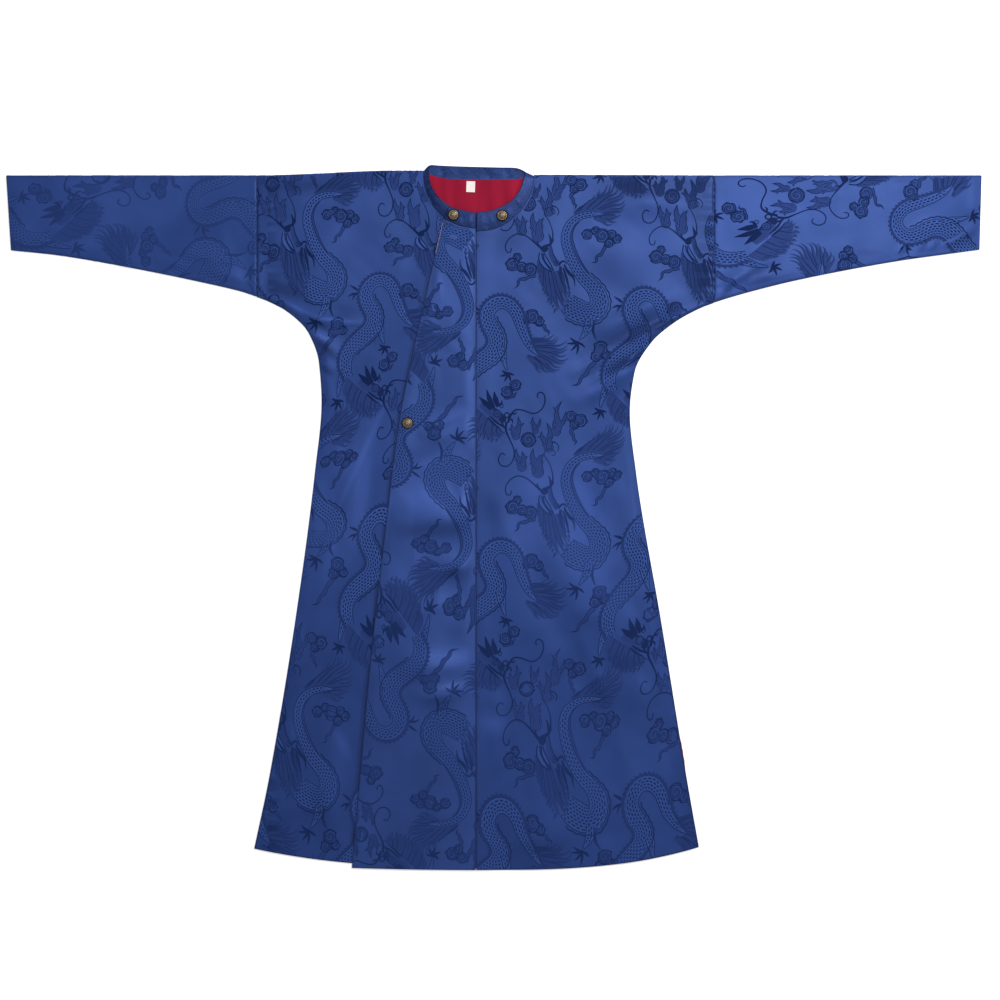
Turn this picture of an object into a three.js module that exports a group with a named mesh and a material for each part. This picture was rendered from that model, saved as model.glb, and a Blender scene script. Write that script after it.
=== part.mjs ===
// A round-collar robe laid flat on a table, front side up: a straight-cut gown with long tapering
// sleeves, a standing collar band, a front that laps over to the wearer's right side and three
// metal ball buttons. Each half of the body is cut in one piece with its upper sleeve and folded at
// the shoulder, as the real cloth is, and the layers lie on each other with a small gap between.
//
// Units are millimetres. In the garment's own frame X runs from the centre-front seam towards the
// wearer's left, Y from the shoulder line towards the collar, and Z up from the table. The exported
// group moves that frame so that the origin lies on the table under the middle of the whole robe.
import * as THREE from "three";

// ---- driving dimensions ----
const LENGTH = 1300; // shoulder line to hem, at the centre front
const CLOTH = 1.2; // thickness of the outer cloth
const LINING = 1.0; // thickness of the lining sheet
const BAND = 1.6; // thickness of the stiffened collar band
const LABEL = 0.5;
const GAP = 0.3; // clearance between sewn or stacked pieces
const NECK_GAP = 1.2; // room at the curved neck seam, where facets cut its corners
const FOLD_STEPS = 4; // facets round a folded edge

// Heights of the middle of each layer above the table.
const BACK_Z = CLOTH / 2;
const LINING_Z = CLOTH + GAP + LINING / 2;
const FRONT_Z = CLOTH + GAP + LINING + GAP + CLOTH / 2;
const OVER_Z = FRONT_Z + CLOTH + GAP;
const SEAM_Z = CLOTH + GAP + CLOTH / 2; // front layer where it is sewn to the back
const FOLD_R = (FRONT_Z - BACK_Z) / 2; // middle of the cloth round the shoulder fold

// Sleeve seam, cuff and hem of each half; "top" is how far the shoulder line rises at the neck.
const RIGHT = {
  sign: -1, seamOut: 410, seamDrop: 228, cuffOut: 879, cuffSkew: 9, top: 9,
  neckOut: 99, neckDrop: 100, hemHalf: 415, hemRise: 35, hemPower: 2.6, hemLift: 5,
};
const LEFT = {
  sign: 1, seamOut: 445, seamDrop: 239, cuffOut: 946, cuffSkew: 4, top: 1,
  neckOut: 109, neckDrop: 106, hemHalf: 417, hemRise: 43, hemPower: 3, hemLift: 0,
};

// Side edge of each half, from the sleeve seam round the underarm to the hem.
const SIDE_RIGHT = [
  { down: 228, out: 410 }, { down: 237, out: 387 }, { down: 256, out: 352 }, { down: 294, out: 314 },
  { down: 350, out: 294 }, { down: 424, out: 289 }, { down: 552, out: 301 }, { down: 832, out: 338 },
  { down: 1113, out: 385 }, { down: 1265, out: 416 },
];
const SIDE_LEFT = [
  { down: 239, out: 445 }, { down: 249, out: 419 }, { down: 275, out: 372 }, { down: 312, out: 329 },
  { down: 368, out: 297 }, { down: 443, out: 288 }, { down: 552, out: 299 }, { down: 832, out: 346 },
  { down: 1057, out: 383 }, { down: 1257, out: 417 },
];

// Lower edge of each sleeve, from the sleeve seam to the cuff.
const UNDER_RIGHT = [
  { out: 410, down: 228 }, { out: 441, down: 218 }, { out: 520, down: 200 },
  { out: 613, down: 181 }, { out: 785, down: 151 }, { out: 879, down: 141 },
];
const UNDER_LEFT = [
  { out: 445, down: 239 }, { out: 470, down: 231 }, { out: 512, down: 219 }, { out: 606, down: 196 },
  { out: 793, down: 161 }, { out: 886, down: 148 }, { out: 946, down: 140 },
];

// Free edge of the overlap, from the collar to the hem, as distances to the wearer's right.
const OVERLAP_EDGE = [
  { down: 83, out: 61 }, { down: 213, out: 91 }, { down: 338, out: 119 }, { down: 458, out: 143 },
  { down: 684, out: 172 }, { down: 914, out: 198 }, { down: 1296, out: 232 },
];
const OVERLAP_HEM_RISE = 4;

// Neckline of the back, which lies under the lining, from the centre out to the shoulder fold.
// "share" is a share of the neck's half width, and "rise" one of how far the shoulder line rises.
const BACK_NECK = [
  { down: 11.6, share: 0, rise: 0 }, { down: 10.8, share: 0.59, rise: 0.1 },
  { down: 8.8, share: 0.86, rise: 0.7 }, { down: 5, share: 0.98, rise: 0.9 },
];

// Rows of the body sheets, as distances below the shoulder line, and columns across them.
const NECK_ROWS = 8;
const EDGE_ROWS = [246, 256, 268, 282, 298, 318, 345, 380, 424, 470, 560, 690, 832, 960, 1100, 1235, LENGTH];
const FOLD_ROWS = [135, 175, 515, 620, 760, 900, 1030, 1170];
const COLUMN_STEPS = 7;
const OVERLAP_COLUMNS = 6;
const EDGE_STRIP = 14; // cloth beside a seam that dips or rises to meet its neighbour
const CLIMB = 42; // how far from the centre seam the left front rises onto the overlap
const HEM_FROM = 900; // rows bend to the hem's curve below this
const SHOULDER_TO = 150; // rows bend to the shoulder's slope above this
const VENT_FROM = 1010; // side seam ends here; the vent's two edges lie free below

// The largest soft folds, each a rounded ridge along a straight crest.
const FRONT_FOLDS = [
  { x0: 402, y0: -250, x1: 262, y1: -312, width: 24, height: 4.0 },
  { x0: 300, y0: -362, x1: 190, y1: -422, width: 18, height: 3.0 },
  { x0: 250, y0: -60, x1: 400, y1: -48, width: 26, height: 2.5 },
  { x0: 150, y0: -700, x1: 262, y1: -1010, width: 34, height: 3.0 },
  { x0: 96, y0: -860, x1: 70, y1: -1090, width: 30, height: 2.5 },
  { x0: 308, y0: -640, x1: 240, y1: -760, width: 22, height: 2.5 },
  { x0: -330, y0: -262, x1: -240, y1: -285, width: 14, height: 3.0 },
  { x0: -308, y0: -300, x1: -262, y1: -335, width: 13, height: 3.0 },
  { x0: -182, y0: -440, x1: -286, y1: -780, width: 30, height: 4.0 },
  { x0: -240, y0: -420, x1: -270, y1: -560, width: 16, height: 2.0 },
  { x0: -268, y0: -900, x1: -300, y1: -1120, width: 28, height: 2.5 },
  { x0: -380, y0: -40, x1: -240, y1: -52, width: 22, height: 2.5 },
];
const OVERLAP_FOLDS = [
  { x0: -118, y0: -512, x1: -12, y1: -470, width: 18, height: 3.0 },
  { x0: -140, y0: -660, x1: -16, y1: -648, width: 20, height: 2.5 },
  { x0: -120, y0: -972, x1: -14, y1: -950, width: 18, height: 3.0 },
  { x0: -60, y0: -760, x1: -100, y1: -900, width: 20, height: 2.0 },
];
const SLEEVE_FOLDS = [
  { x0: 905, y0: -60, x1: 820, y1: -118, width: 16, height: 2.5 },
  { x0: 470, y0: -190, x1: 560, y1: -150, width: 18, height: 3.0 },
  { x0: -450, y0: -170, x1: -560, y1: -140, width: 18, height: 2.5 },
  { x0: -700, y0: -40, x1: -820, y1: -52, width: 18, height: 2.0 },
];

// Standing collar band, one row for each section: "seam" is its sewn edge and "edge" its top edge.
// It runs from the centre front over the wearer's left shoulder, round the back of the neck and
// down the wearer's right side, where its end lies under the overlap.
const COLLAR = [
  { seamX: GAP, seamY: -106, seamZ: 5.1, edgeX: GAP, edgeY: -70, edgeZ: 7.4 },
  { seamX: 28, seamY: -102.5, seamZ: 4.4, edgeX: 26, edgeY: -67, edgeZ: 7.2 },
  { seamX: 55, seamY: -91.5, seamZ: 3.9, edgeX: 49, edgeY: -58.5, edgeZ: 7.0 },
  { seamX: 79, seamY: -73, seamZ: 3.6, edgeX: 68, edgeY: -46, edgeZ: 7.0 },
  { seamX: 97, seamY: -48.5, seamZ: 3.5, edgeX: 82, edgeY: -28, edgeZ: 7.0 },
  { seamX: 106.5, seamY: -22, seamZ: 3.7, edgeX: 88.5, edgeY: -10, edgeZ: 6.6 },
  { seamX: 108.6, seamY: -7, seamZ: 3.4, edgeX: 90.5, edgeY: -1, edgeZ: 5.4 },
  { seamX: 108.6, seamY: -2, seamZ: 2.2, edgeX: 90.5, edgeY: 5, edgeZ: 3.8 },
  { seamX: 103, seamY: -4.2, seamZ: 1.1, edgeX: 86.5, edgeY: 9.5, edgeZ: 2.2 },
  { seamX: 88, seamY: -7.5, seamZ: 0.9, edgeX: 76, edgeY: 13.5, edgeZ: 1.7 },
  { seamX: 50, seamY: -10, seamZ: 0.9, edgeX: 46, edgeY: 14.5, edgeZ: 2.2 },
  { seamX: 0, seamY: -10, seamZ: 0.9, edgeX: 0, edgeY: 15.5, edgeZ: 2.6 },
  { seamX: -45, seamY: -9, seamZ: 0.9, edgeX: -44, edgeY: 17, edgeZ: 2.0 },
  { seamX: -74, seamY: -4, seamZ: 0.9, edgeX: -72, edgeY: 18.4, edgeZ: 1.7 },
  { seamX: -93, seamY: 2.5, seamZ: 1.1, edgeX: -84, edgeY: 19, edgeZ: 2.2 },
  { seamX: -98.6, seamY: 6.5, seamZ: 2.2, edgeX: -88.5, edgeY: 17, edgeZ: 3.8 },
  { seamX: -99, seamY: 1, seamZ: 3.2, edgeX: -88.5, edgeY: 8, edgeZ: 5.2 },
  { seamX: -97.5, seamY: -16, seamZ: 3.7, edgeX: -86, edgeY: -12, edgeZ: 6.4 },
  { seamX: -88, seamY: -44, seamZ: 3.7, edgeX: -75, edgeY: -35, edgeZ: 6.6 },
  { seamX: -72, seamY: -68, seamZ: 3.7, edgeX: -59, edgeY: -51, edgeZ: 5.4 },
  { seamX: -55, seamY: -82, seamZ: 3.7, edgeX: -43, edgeY: -61, edgeZ: 4.4 },
  { seamX: -36, seamY: -92, seamZ: 3.7, edgeX: -29, edgeY: -66, edgeZ: 4.4 },
];
const COLLAR_BETWEEN = 1; // sections added between two rows
const COLLAR_ACROSS = 3;

// The band's own overlapping stretch, from its slanted free end to the centre front.
const COLLAR_OVER = [
  { seamX: -61, seamY: -82, seamZ: 5.9, edgeX: -51, edgeY: -58.5, edgeZ: 6.9 },
  { seamX: -46, seamY: -89, seamZ: 5.8, edgeX: -38, edgeY: -62.5, edgeZ: 7.4 },
  { seamX: -24, seamY: -96.8, seamZ: 5.8, edgeX: -20, edgeY: -67, edgeZ: 7.8 },
  { seamX: -GAP, seamY: -100, seamZ: 5.8, edgeX: -GAP, edgeY: -71, edgeZ: 7.6 },
];
const COLLAR_OVER_BETWEEN = 2;

// The lining shows inside the neck, and its edge peeps out of the wearer's left vent.
const NECK_LINING = { half: 140, foot: 150 };
const LINING_COLUMNS = [0, 30, 55, 72, 88, 100, 110, NECK_LINING.half];
const VENT_LINING = { from: 1052, to: 1146, inside: 12, beyond: 1.5 };

// Back neck label and ball buttons.
const LABEL_BOX = { x: -10, top: -11.2, width: 17, height: 21 };
const BUTTON = { radius: 8.8, rim: 1.6, dome: 5.2, shank: 2.4, shankHeight: 1.5, sides: 16, rings: 4 };
const BUTTONS = [
  { name: "button_collar_right", x: -42, y: -75, z: 8.0 },
  { name: "button_collar_left", x: 49, y: -76, z: 7.0 },
  { name: "button_chest", x: -128, y: -464, z: 5.8 },
];

// ---- helpers ----
const mix = (a, b, t) => a + (b - a) * t;
const clamp01 = (t) => Math.min(1, Math.max(0, t));
const smooth = (t) => {
  const c = clamp01(t);
  return c * c * (3 - 2 * c);
};

// A curve through a table's rows that never overshoots them: value(key) of one column by another.
function curveOf(table, key, column) {
  const xs = table.map((row) => row[key]);
  const ys = table.map((row) => row[column]);
  const rise = xs.slice(1).map((x, i) => (ys[i + 1] - ys[i]) / (x - xs[i]));
  const slope = xs.map((_, i) => {
    const before = rise[i - 1] ?? rise[i];
    const after = rise[i] ?? rise[i - 1];
    return before * after <= 0 ? 0 : (2 * before * after) / (before + after);
  });
  return (at) => {
    if (at <= xs[0]) return ys[0];
    if (at >= xs[xs.length - 1]) return ys[ys.length - 1];
    const i = xs.findIndex((x) => x > at) - 1;
    const h = xs[i + 1] - xs[i];
    const t = (at - xs[i]) / h;
    const a = (1 + 2 * t) * (1 - t) ** 2;
    const b = t * (1 - t) ** 2 * h;
    const c = t * t * (3 - 2 * t);
    const d = t * t * (t - 1) * h;
    return ys[i] * a + slope[i] * b + ys[i + 1] * c + slope[i + 1] * d;
  };
}

// Height that a table of soft folds adds at a point.
function ridges(folds, x, y) {
  return folds.reduce((sum, f) => {
    const dx = f.x1 - f.x0;
    const dy = f.y1 - f.y0;
    const length2 = dx * dx + dy * dy;
    const along = ((x - f.x0) * dx + (y - f.y0) * dy) / length2;
    const near = clamp01(along);
    const away = Math.hypot(x - f.x0 - dx * near, y - f.y0 - dy * near) / f.width;
    const fade = smooth(1 - Math.abs(along - 0.5) / 0.85);
    return sum + f.height * fade * Math.exp(-away * away);
  }, 0);
}

// A closed solid from a grid of points on its outer face and the same grid on its inner face.
function sheetGeometry(outer, inner) {
  const rows = outer.length;
  const columns = outer[0].length;
  const positions = [...outer.flat(), ...inner.flat()].flatMap((p) => [p.x, p.y, p.z]);
  const at = (face, r, c) => face * rows * columns + r * columns + c;
  const triangles = [];
  const quad = (a, b, c, d) => triangles.push(a, b, c, a, c, d);
  for (let r = 0; r < rows - 1; r++) {
    for (let c = 0; c < columns - 1; c++) {
      quad(at(0, r, c), at(0, r, c + 1), at(0, r + 1, c + 1), at(0, r + 1, c));
      quad(at(1, r, c), at(1, r + 1, c), at(1, r + 1, c + 1), at(1, r, c + 1));
    }
    quad(at(0, r, 0), at(0, r + 1, 0), at(1, r + 1, 0), at(1, r, 0));
    quad(at(0, r + 1, columns - 1), at(0, r, columns - 1), at(1, r, columns - 1), at(1, r + 1, columns - 1));
  }
  for (let c = 0; c < columns - 1; c++) {
    quad(at(0, 0, c + 1), at(0, 0, c), at(1, 0, c), at(1, 0, c + 1));
    quad(at(0, rows - 1, c), at(0, rows - 1, c + 1), at(1, rows - 1, c + 1), at(1, rows - 1, c));
  }
  return facingOut(positions, triangles);
}

// A closed tube wall from rings of outer and inner points; both ends stay open.
function tubeGeometry(outer, inner) {
  const rings = outer.length;
  const sides = outer[0].length;
  const positions = [...outer.flat(), ...inner.flat()].flatMap((p) => [p.x, p.y, p.z]);
  const at = (face, r, s) => face * rings * sides + r * sides + (s % sides);
  const triangles = [];
  const quad = (a, b, c, d) => triangles.push(a, b, c, a, c, d);
  for (let s = 0; s < sides; s++) {
    for (let r = 0; r < rings - 1; r++) {
      quad(at(0, r, s), at(0, r, s + 1), at(0, r + 1, s + 1), at(0, r + 1, s));
      quad(at(1, r, s), at(1, r + 1, s), at(1, r + 1, s + 1), at(1, r, s + 1));
    }
    quad(at(0, 0, s + 1), at(0, 0, s), at(1, 0, s), at(1, 0, s + 1));
    quad(at(0, rings - 1, s), at(0, rings - 1, s + 1), at(1, rings - 1, s + 1), at(1, rings - 1, s));
  }
  return facingOut(positions, triangles);
}

// Turns the faces round if the solid they close has a negative volume.
function facingOut(positions, triangles) {
  let volume = 0;
  const point = (i) => new THREE.Vector3().fromArray(positions, 3 * i);
  for (let i = 0; i < triangles.length; i += 3) {
    const [a, b, c] = triangles.slice(i, i + 3).map(point);
    volume += a.dot(b.cross(c));
  }
  if (volume < 0) triangles.reverse();
  const geometry = new THREE.BufferGeometry();
  geometry.setAttribute("position", new THREE.Float32BufferAttribute(positions, 3));
  geometry.setIndex(triangles);
  geometry.computeVertexNormals();
  return geometry;
}

// ---- outlines ----
const sideOut = new Map([
  [RIGHT, curveOf(SIDE_RIGHT, "down", "out")],
  [LEFT, curveOf(SIDE_LEFT, "down", "out")],
]);
const underDrop = new Map([
  [RIGHT, curveOf(UNDER_RIGHT, "out", "down")],
  [LEFT, curveOf(UNDER_LEFT, "out", "down")],
]);
const overlapOut = curveOf(OVERLAP_EDGE, "down", "out");
const backCollarRows = COLLAR.filter((row) => row.seamZ < 3).sort((a, b) => a.seamX - b.seamX);
const backSeamY = curveOf(backCollarRows, "seamX", "seamY");
const overlapNeckY = curveOf(COLLAR_OVER, "seamX", "seamY");

// How far the hem's curve lifts a point of the lowest row.
const hemRise = (half, out) => half.hemLift + half.hemRise * (out / half.hemHalf) ** half.hemPower;
const hemShare = (down) => smooth((down - HEM_FROM) / (LENGTH - HEM_FROM));

// Half width of the body at a row, measured where the bent row meets the side edge.
function bodyOut(half, down) {
  if (down <= half.seamDrop) return half.seamOut;
  return sideOut.get(half)(down - hemRise(half, half.hemHalf) * hemShare(down));
}

// How far the shoulder rises above its line on the way from the sleeve to the neck.
const slopeRise = (half, out) => half.top * (1 - smooth((out - 140) / (half.seamOut - 140)));

// Y of a row at a distance from the centre, bent to the shoulder's slope and the hem's curve.
function rowY(half, down, out) {
  return -down + hemRise(half, out) * hemShare(down) + slopeRise(half, out) * (1 - smooth(down / SHOULDER_TO));
}

// Columns of a body row: narrow ones beside its two edges, where the cloth dips or rises.
function columns(from, to) {
  const inner = [from, from + EDGE_STRIP, from + CLIMB];
  const span = to - EDGE_STRIP - inner[2];
  const steps = Array.from({ length: COLUMN_STEPS }, (_, i) => inner[2] + (span * (i + 1)) / COLUMN_STEPS);
  return [...inner, ...steps, to];
}

// ---- layer heights ----
function frontHeight(half, down, out, y) {
  const limit = bodyOut(half, down);
  const isSewn = down > half.seamDrop && down < VENT_FROM;
  const tuck = isSewn ? 1 - smooth((limit - out) / EDGE_STRIP) : 0;
  const clearOfOverlap = half === LEFT ? 1 : smooth((out - overlapOut(down) - 34) / 30);
  const climb = half === LEFT ? 1 - smooth(out / CLIMB) : 0;
  const clearOfEdges = clearOfOverlap * (1 - climb) * smooth((limit - out) / EDGE_STRIP);
  const fold = ridges(FRONT_FOLDS, half.sign * out, y) * clearOfEdges * smooth((down - 4) / 30);
  return FRONT_Z + (OVER_Z - FRONT_Z) * climb - (FRONT_Z - SEAM_Z) * tuck + fold;
}

function overlapHeight(x, y, out, down) {
  const clearOfEdges = smooth(-x / 22) * smooth((out + x) / 16);
  return OVER_Z + ridges(OVERLAP_FOLDS, x, y) * clearOfEdges * smooth((LENGTH - down) / 40);
}

// ---- pieces ----
// Rows of a front with the distance at which each starts: on the neck seam's curve, or below it at
// the centre. A row stands higher at the neck than its distance down, so that is worked out back.
function frontRows(half) {
  const drop = half.neckDrop + NECK_GAP;
  const neck = Array.from({ length: NECK_ROWS }, (_, i) => {
    const angle = mix(0.05, Math.PI / 2, i / (NECK_ROWS - 1));
    let down = drop * Math.sin(angle);
    for (let tries = 0; tries < 4; tries++) {
      down = drop * Math.sin(angle) + half.top * (1 - smooth(down / SHOULDER_TO));
    }
    return { down, from: Math.max(GAP, (half.neckOut + NECK_GAP) * Math.cos(angle)) };
  });
  const rest = [half.seamDrop, ...EDGE_ROWS, ...FOLD_ROWS].sort((a, b) => a - b);
  return [...neck, ...rest.map((down) => ({ down, from: GAP }))];
}

// One half of the body: its back, the fold at the shoulder and its front, in one sheet.
function bodyHalf(half) {
  const seam = half.seamOut - GAP / 2;
  const outer = [];
  const inner = [];
  const addRow = (from, down, placeOf) => {
    const to = down <= half.seamDrop ? seam : bodyOut(half, down);
    const row = columns(from, to).map(placeOf);
    outer.push(row.map((p) => p.middle.clone().addScaledVector(p.normal, CLOTH / 2)));
    inner.push(row.map((p) => p.middle.clone().addScaledVector(p.normal, -CLOTH / 2)));
  };
  const place = (out, y, z, ny, nz) => ({
    middle: new THREE.Vector3(half.sign * out, y, z),
    normal: new THREE.Vector3(0, ny, nz),
  });

  const hidden = 1; // the back's hem lies this much inside the front's
  for (const down of [SHOULDER_TO, half.seamDrop, ...EDGE_ROWS].toReversed()) {
    addRow(GAP, down, (out) => place(out, rowY(half, down, out) + hidden * hemShare(down), BACK_Z, 0, -1));
  }
  const foldIn = half.neckOut + NECK_GAP;
  for (const { down, share, rise } of BACK_NECK) {
    const from = GAP + share * half.neckOut;
    addRow(from, down, (out) => place(out, -down + rise * slopeRise(half, out), BACK_Z, 0, -1));
  }
  for (let step = 0; step <= FOLD_STEPS; step++) {
    const angle = Math.PI * (step / FOLD_STEPS - 0.5);
    const [ny, nz] = [Math.cos(angle), Math.sin(angle)];
    const centre = (out) => slopeRise(half, out) - FOLD_R - CLOTH / 2;
    addRow(foldIn, 0, (out) => place(out, centre(out) + FOLD_R * ny, BACK_Z + FOLD_R * (1 + nz), ny, nz));
  }
  for (const { down, from } of frontRows(half)) {
    addRow(from, down, (out) => {
      const y = rowY(half, down, out);
      return place(out, y, frontHeight(half, down, out, y), 0, 1);
    });
  }
  return sheetGeometry(outer, inner);
}

// The overlap that the centre-front seam joins to the wearer's left half.
function overlapPanel() {
  const corner = OVERLAP_EDGE[0].down;
  const rows = [corner, ...[...EDGE_ROWS, ...FOLD_ROWS].sort((a, b) => a - b)];
  const grid = (side) =>
    rows.map((down) =>
      Array.from({ length: OVERLAP_COLUMNS + 1 }, (_, c) => {
        const out = mix(GAP, overlapOut(down), c / OVERLAP_COLUMNS);
        const rise = OVERLAP_HEM_RISE * (out / overlapOut(LENGTH)) ** 2 * hemShare(down);
        const y = down === corner ? overlapNeckY(-out) - NECK_GAP : -down + rise;
        return new THREE.Vector3(-out, y, overlapHeight(-out, y, overlapOut(down), -y) + (side * CLOTH) / 2);
      }),
    );
  return sheetGeometry(grid(1), grid(-1));
}

// A sleeve: a flattened tube, folded along the shoulder line and seamed along its lower edge.
function sleeve(half) {
  const stations = 9;
  const flat = 6;
  const outer = [];
  const inner = [];
  for (let i = 0; i <= stations; i++) {
    const t = i / stations;
    const start = half.seamOut + GAP / 2;
    const out = mix(start, half.cuffOut, t);
    const drop = underDrop.get(half)(out);
    const top = rowY(half, 0, Math.min(out, half.seamOut));
    const ringOf = (inset) => {
      const radius = FOLD_R + CLOTH / 2 - inset;
      const ring = [];
      const add = (y, z) => {
        const skew = half.cuffSkew * t * clamp01((top - y) / drop);
        ring.push(new THREE.Vector3(half.sign * (out - skew), y, z));
      };
      const high = top - FOLD_R - CLOTH / 2;
      const low = -drop + FOLD_R + CLOTH / 2;
      const middle = BACK_Z + FOLD_R;
      for (let s = 0; s <= flat; s++) {
        const y = mix(high, low, s / flat);
        const fold = ridges(SLEEVE_FOLDS, half.sign * out, y) * smooth((s * (flat - s)) / flat);
        add(y, middle + radius + fold * smooth(i / 2) * smooth((stations - i) / 2));
      }
      for (let s = 1; s < FOLD_STEPS; s++) {
        const angle = (Math.PI * s) / FOLD_STEPS;
        add(low - radius * Math.sin(angle), middle + radius * Math.cos(angle));
      }
      for (let s = 0; s <= flat; s++) add(mix(low, high, s / flat), middle - radius);
      for (let s = 1; s < FOLD_STEPS; s++) {
        const angle = (Math.PI * s) / FOLD_STEPS;
        add(high + radius * Math.sin(angle), middle - radius * Math.cos(angle));
      }
      return ring;
    };
    outer.push(ringOf(0));
    inner.push(ringOf(CLOTH));
  }
  return tubeGeometry(outer, inner);
}

// A collar band: sections from the sewn edge to the top edge, offset both ways along its normal.
function band(table, between) {
  const smoothLine = (kind) => {
    const points = table.map((r) => new THREE.Vector3(r[`${kind}X`], r[`${kind}Y`], r[`${kind}Z`]));
    return new THREE.CatmullRomCurve3(points, false, "centripetal");
  };
  const seam = smoothLine("seam");
  const edge = smoothLine("edge");
  const count = (table.length - 1) * (between + 1);
  const middle = (i, j) => {
    return seam.getPoint(i / count).lerp(edge.getPoint(i / count), j / COLLAR_ACROSS);
  };
  const grid = (side) =>
    Array.from({ length: count + 1 }, (_, i) =>
      Array.from({ length: COLLAR_ACROSS + 1 }, (_, j) => {
        const step = 0.4;
        const along = middle(Math.min(count, i + step), j).sub(middle(Math.max(0, i - step), j));
        const across = middle(i, COLLAR_ACROSS).sub(middle(i, 0));
        const normal = along.cross(across).normalize();
        return middle(i, j).addScaledVector(normal, (side * BAND) / 2);
      }),
    );
  return sheetGeometry(grid(1), grid(-1));
}

// The lining at the back of the neck, from the collar's seam down past the front neckline.
function neckLining() {
  const { half, foot } = NECK_LINING;
  const xs = [...LINING_COLUMNS.slice(1).map((x) => -x).toReversed(), ...LINING_COLUMNS];
  const topY = (x) => Math.min(backSeamY(x) - 3 * GAP, 3 - 17 * smooth((Math.abs(x) - 86) / 16));
  const grid = (side) =>
    [0, 0.5, 1].map((t) =>
      xs.map((x) => {
        const y = mix(topY(x), -foot + 30 * (x / half) ** 2, t);
        return new THREE.Vector3(x, y, LINING_Z + (side * LINING) / 2);
      }),
    );
  return sheetGeometry(grid(1), grid(-1));
}

// The strip of lining at the wearer's left vent.
function ventLining() {
  const { from, to, inside, beyond } = VENT_LINING;
  const steps = 6;
  const grid = (side) =>
    Array.from({ length: steps + 1 }, (_, i) => {
      const down = mix(from, to, i / steps);
      const edge = bodyOut(LEFT, down);
      const bulge = beyond * smooth(3 * (0.5 - Math.abs(i / steps - 0.5)));
      const y = rowY(LEFT, down, edge);
      return [edge - inside, edge + bulge - GAP].map(
        (x) => new THREE.Vector3(x, y, LINING_Z + (side * LINING) / 2),
      );
    });
  return sheetGeometry(grid(1), grid(-1));
}

function neckLabel() {
  const geometry = new THREE.BoxGeometry(LABEL_BOX.width, LABEL_BOX.height, LABEL);
  const height = LINING_Z + LINING / 2 + GAP + LABEL / 2;
  return geometry.translate(LABEL_BOX.x, LABEL_BOX.top - LABEL_BOX.height / 2, height);
}

// A ball button: a short shank under a rounded rim and a dome.
function ballButton({ x, y, z }) {
  const { radius, rim, dome, shank, shankHeight, sides, rings } = BUTTON;
  const profile = [new THREE.Vector2(0, 0), new THREE.Vector2(shank, 0), new THREE.Vector2(shank, shankHeight)];
  profile.push(new THREE.Vector2(radius - 1, shankHeight), new THREE.Vector2(radius, shankHeight + rim / 2));
  for (let i = 0; i < rings; i++) {
    const angle = ((i / rings) * Math.PI) / 2;
    profile.push(new THREE.Vector2(radius * Math.cos(angle), shankHeight + rim + dome * Math.sin(angle)));
  }
  profile.push(new THREE.Vector2(0, shankHeight + rim + dome));
  const geometry = new THREE.LatheGeometry(profile, sides).rotateX(Math.PI / 2);
  return geometry.translate(x, y, z);
}

// ---- the robe ----
const satin = new THREE.MeshStandardMaterial({ color: 0x30447e, roughness: 0.45, metalness: 0 });
const crimson = new THREE.MeshStandardMaterial({ color: 0x8a1833, roughness: 0.6, metalness: 0 });
const white = new THREE.MeshStandardMaterial({ color: 0xf4ede8, roughness: 0.7, metalness: 0 });
const brass = new THREE.MeshStandardMaterial({ color: 0x8a6d45, roughness: 0.4, metalness: 0.9 });

const robe = new THREE.Group();
function add(name, geometry, material) {
  const mesh = new THREE.Mesh(geometry, material);
  mesh.name = name;
  robe.add(mesh);
}
add("body_left", bodyHalf(LEFT), satin);
add("body_right", bodyHalf(RIGHT), satin);
add("front_overlap", overlapPanel(), satin);
add("sleeve_left", sleeve(LEFT), satin);
add("sleeve_right", sleeve(RIGHT), satin);
add("collar_band", band(COLLAR, COLLAR_BETWEEN), satin);
add("collar_overlap", band(COLLAR_OVER, COLLAR_OVER_BETWEEN), satin);
add("lining_neck", neckLining(), crimson);
add("lining_vent", ventLining(), crimson);
add("neck_label", neckLabel(), white);
for (const button of BUTTONS) add(button.name, ballButton(button), brass);

// The origin lies on the table under the middle of the robe's outline.
const { min, max } = new THREE.Box3().setFromObject(robe);
robe.position.set(-(min.x + max.x) / 2, -(min.y + max.y) / 2, -min.z);

export default robe;
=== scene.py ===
# %% [markdown]
# # A round-collar robe in dark blue dragon damask
# A long straight-cut robe lies flat and front side up. Its satin ground shines and its woven dragons,
# clouds and flaming pearls stay matt. The solids of the robe come from a imported model. They are only
# a frame: each one is replaced here by cloth that is thin, softly folded and finely woven.
#
# This first cell loads that frame and keeps its solids, so that the box of each can be read.

# %% Load the imported robe
import math
from types import SimpleNamespace

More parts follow.
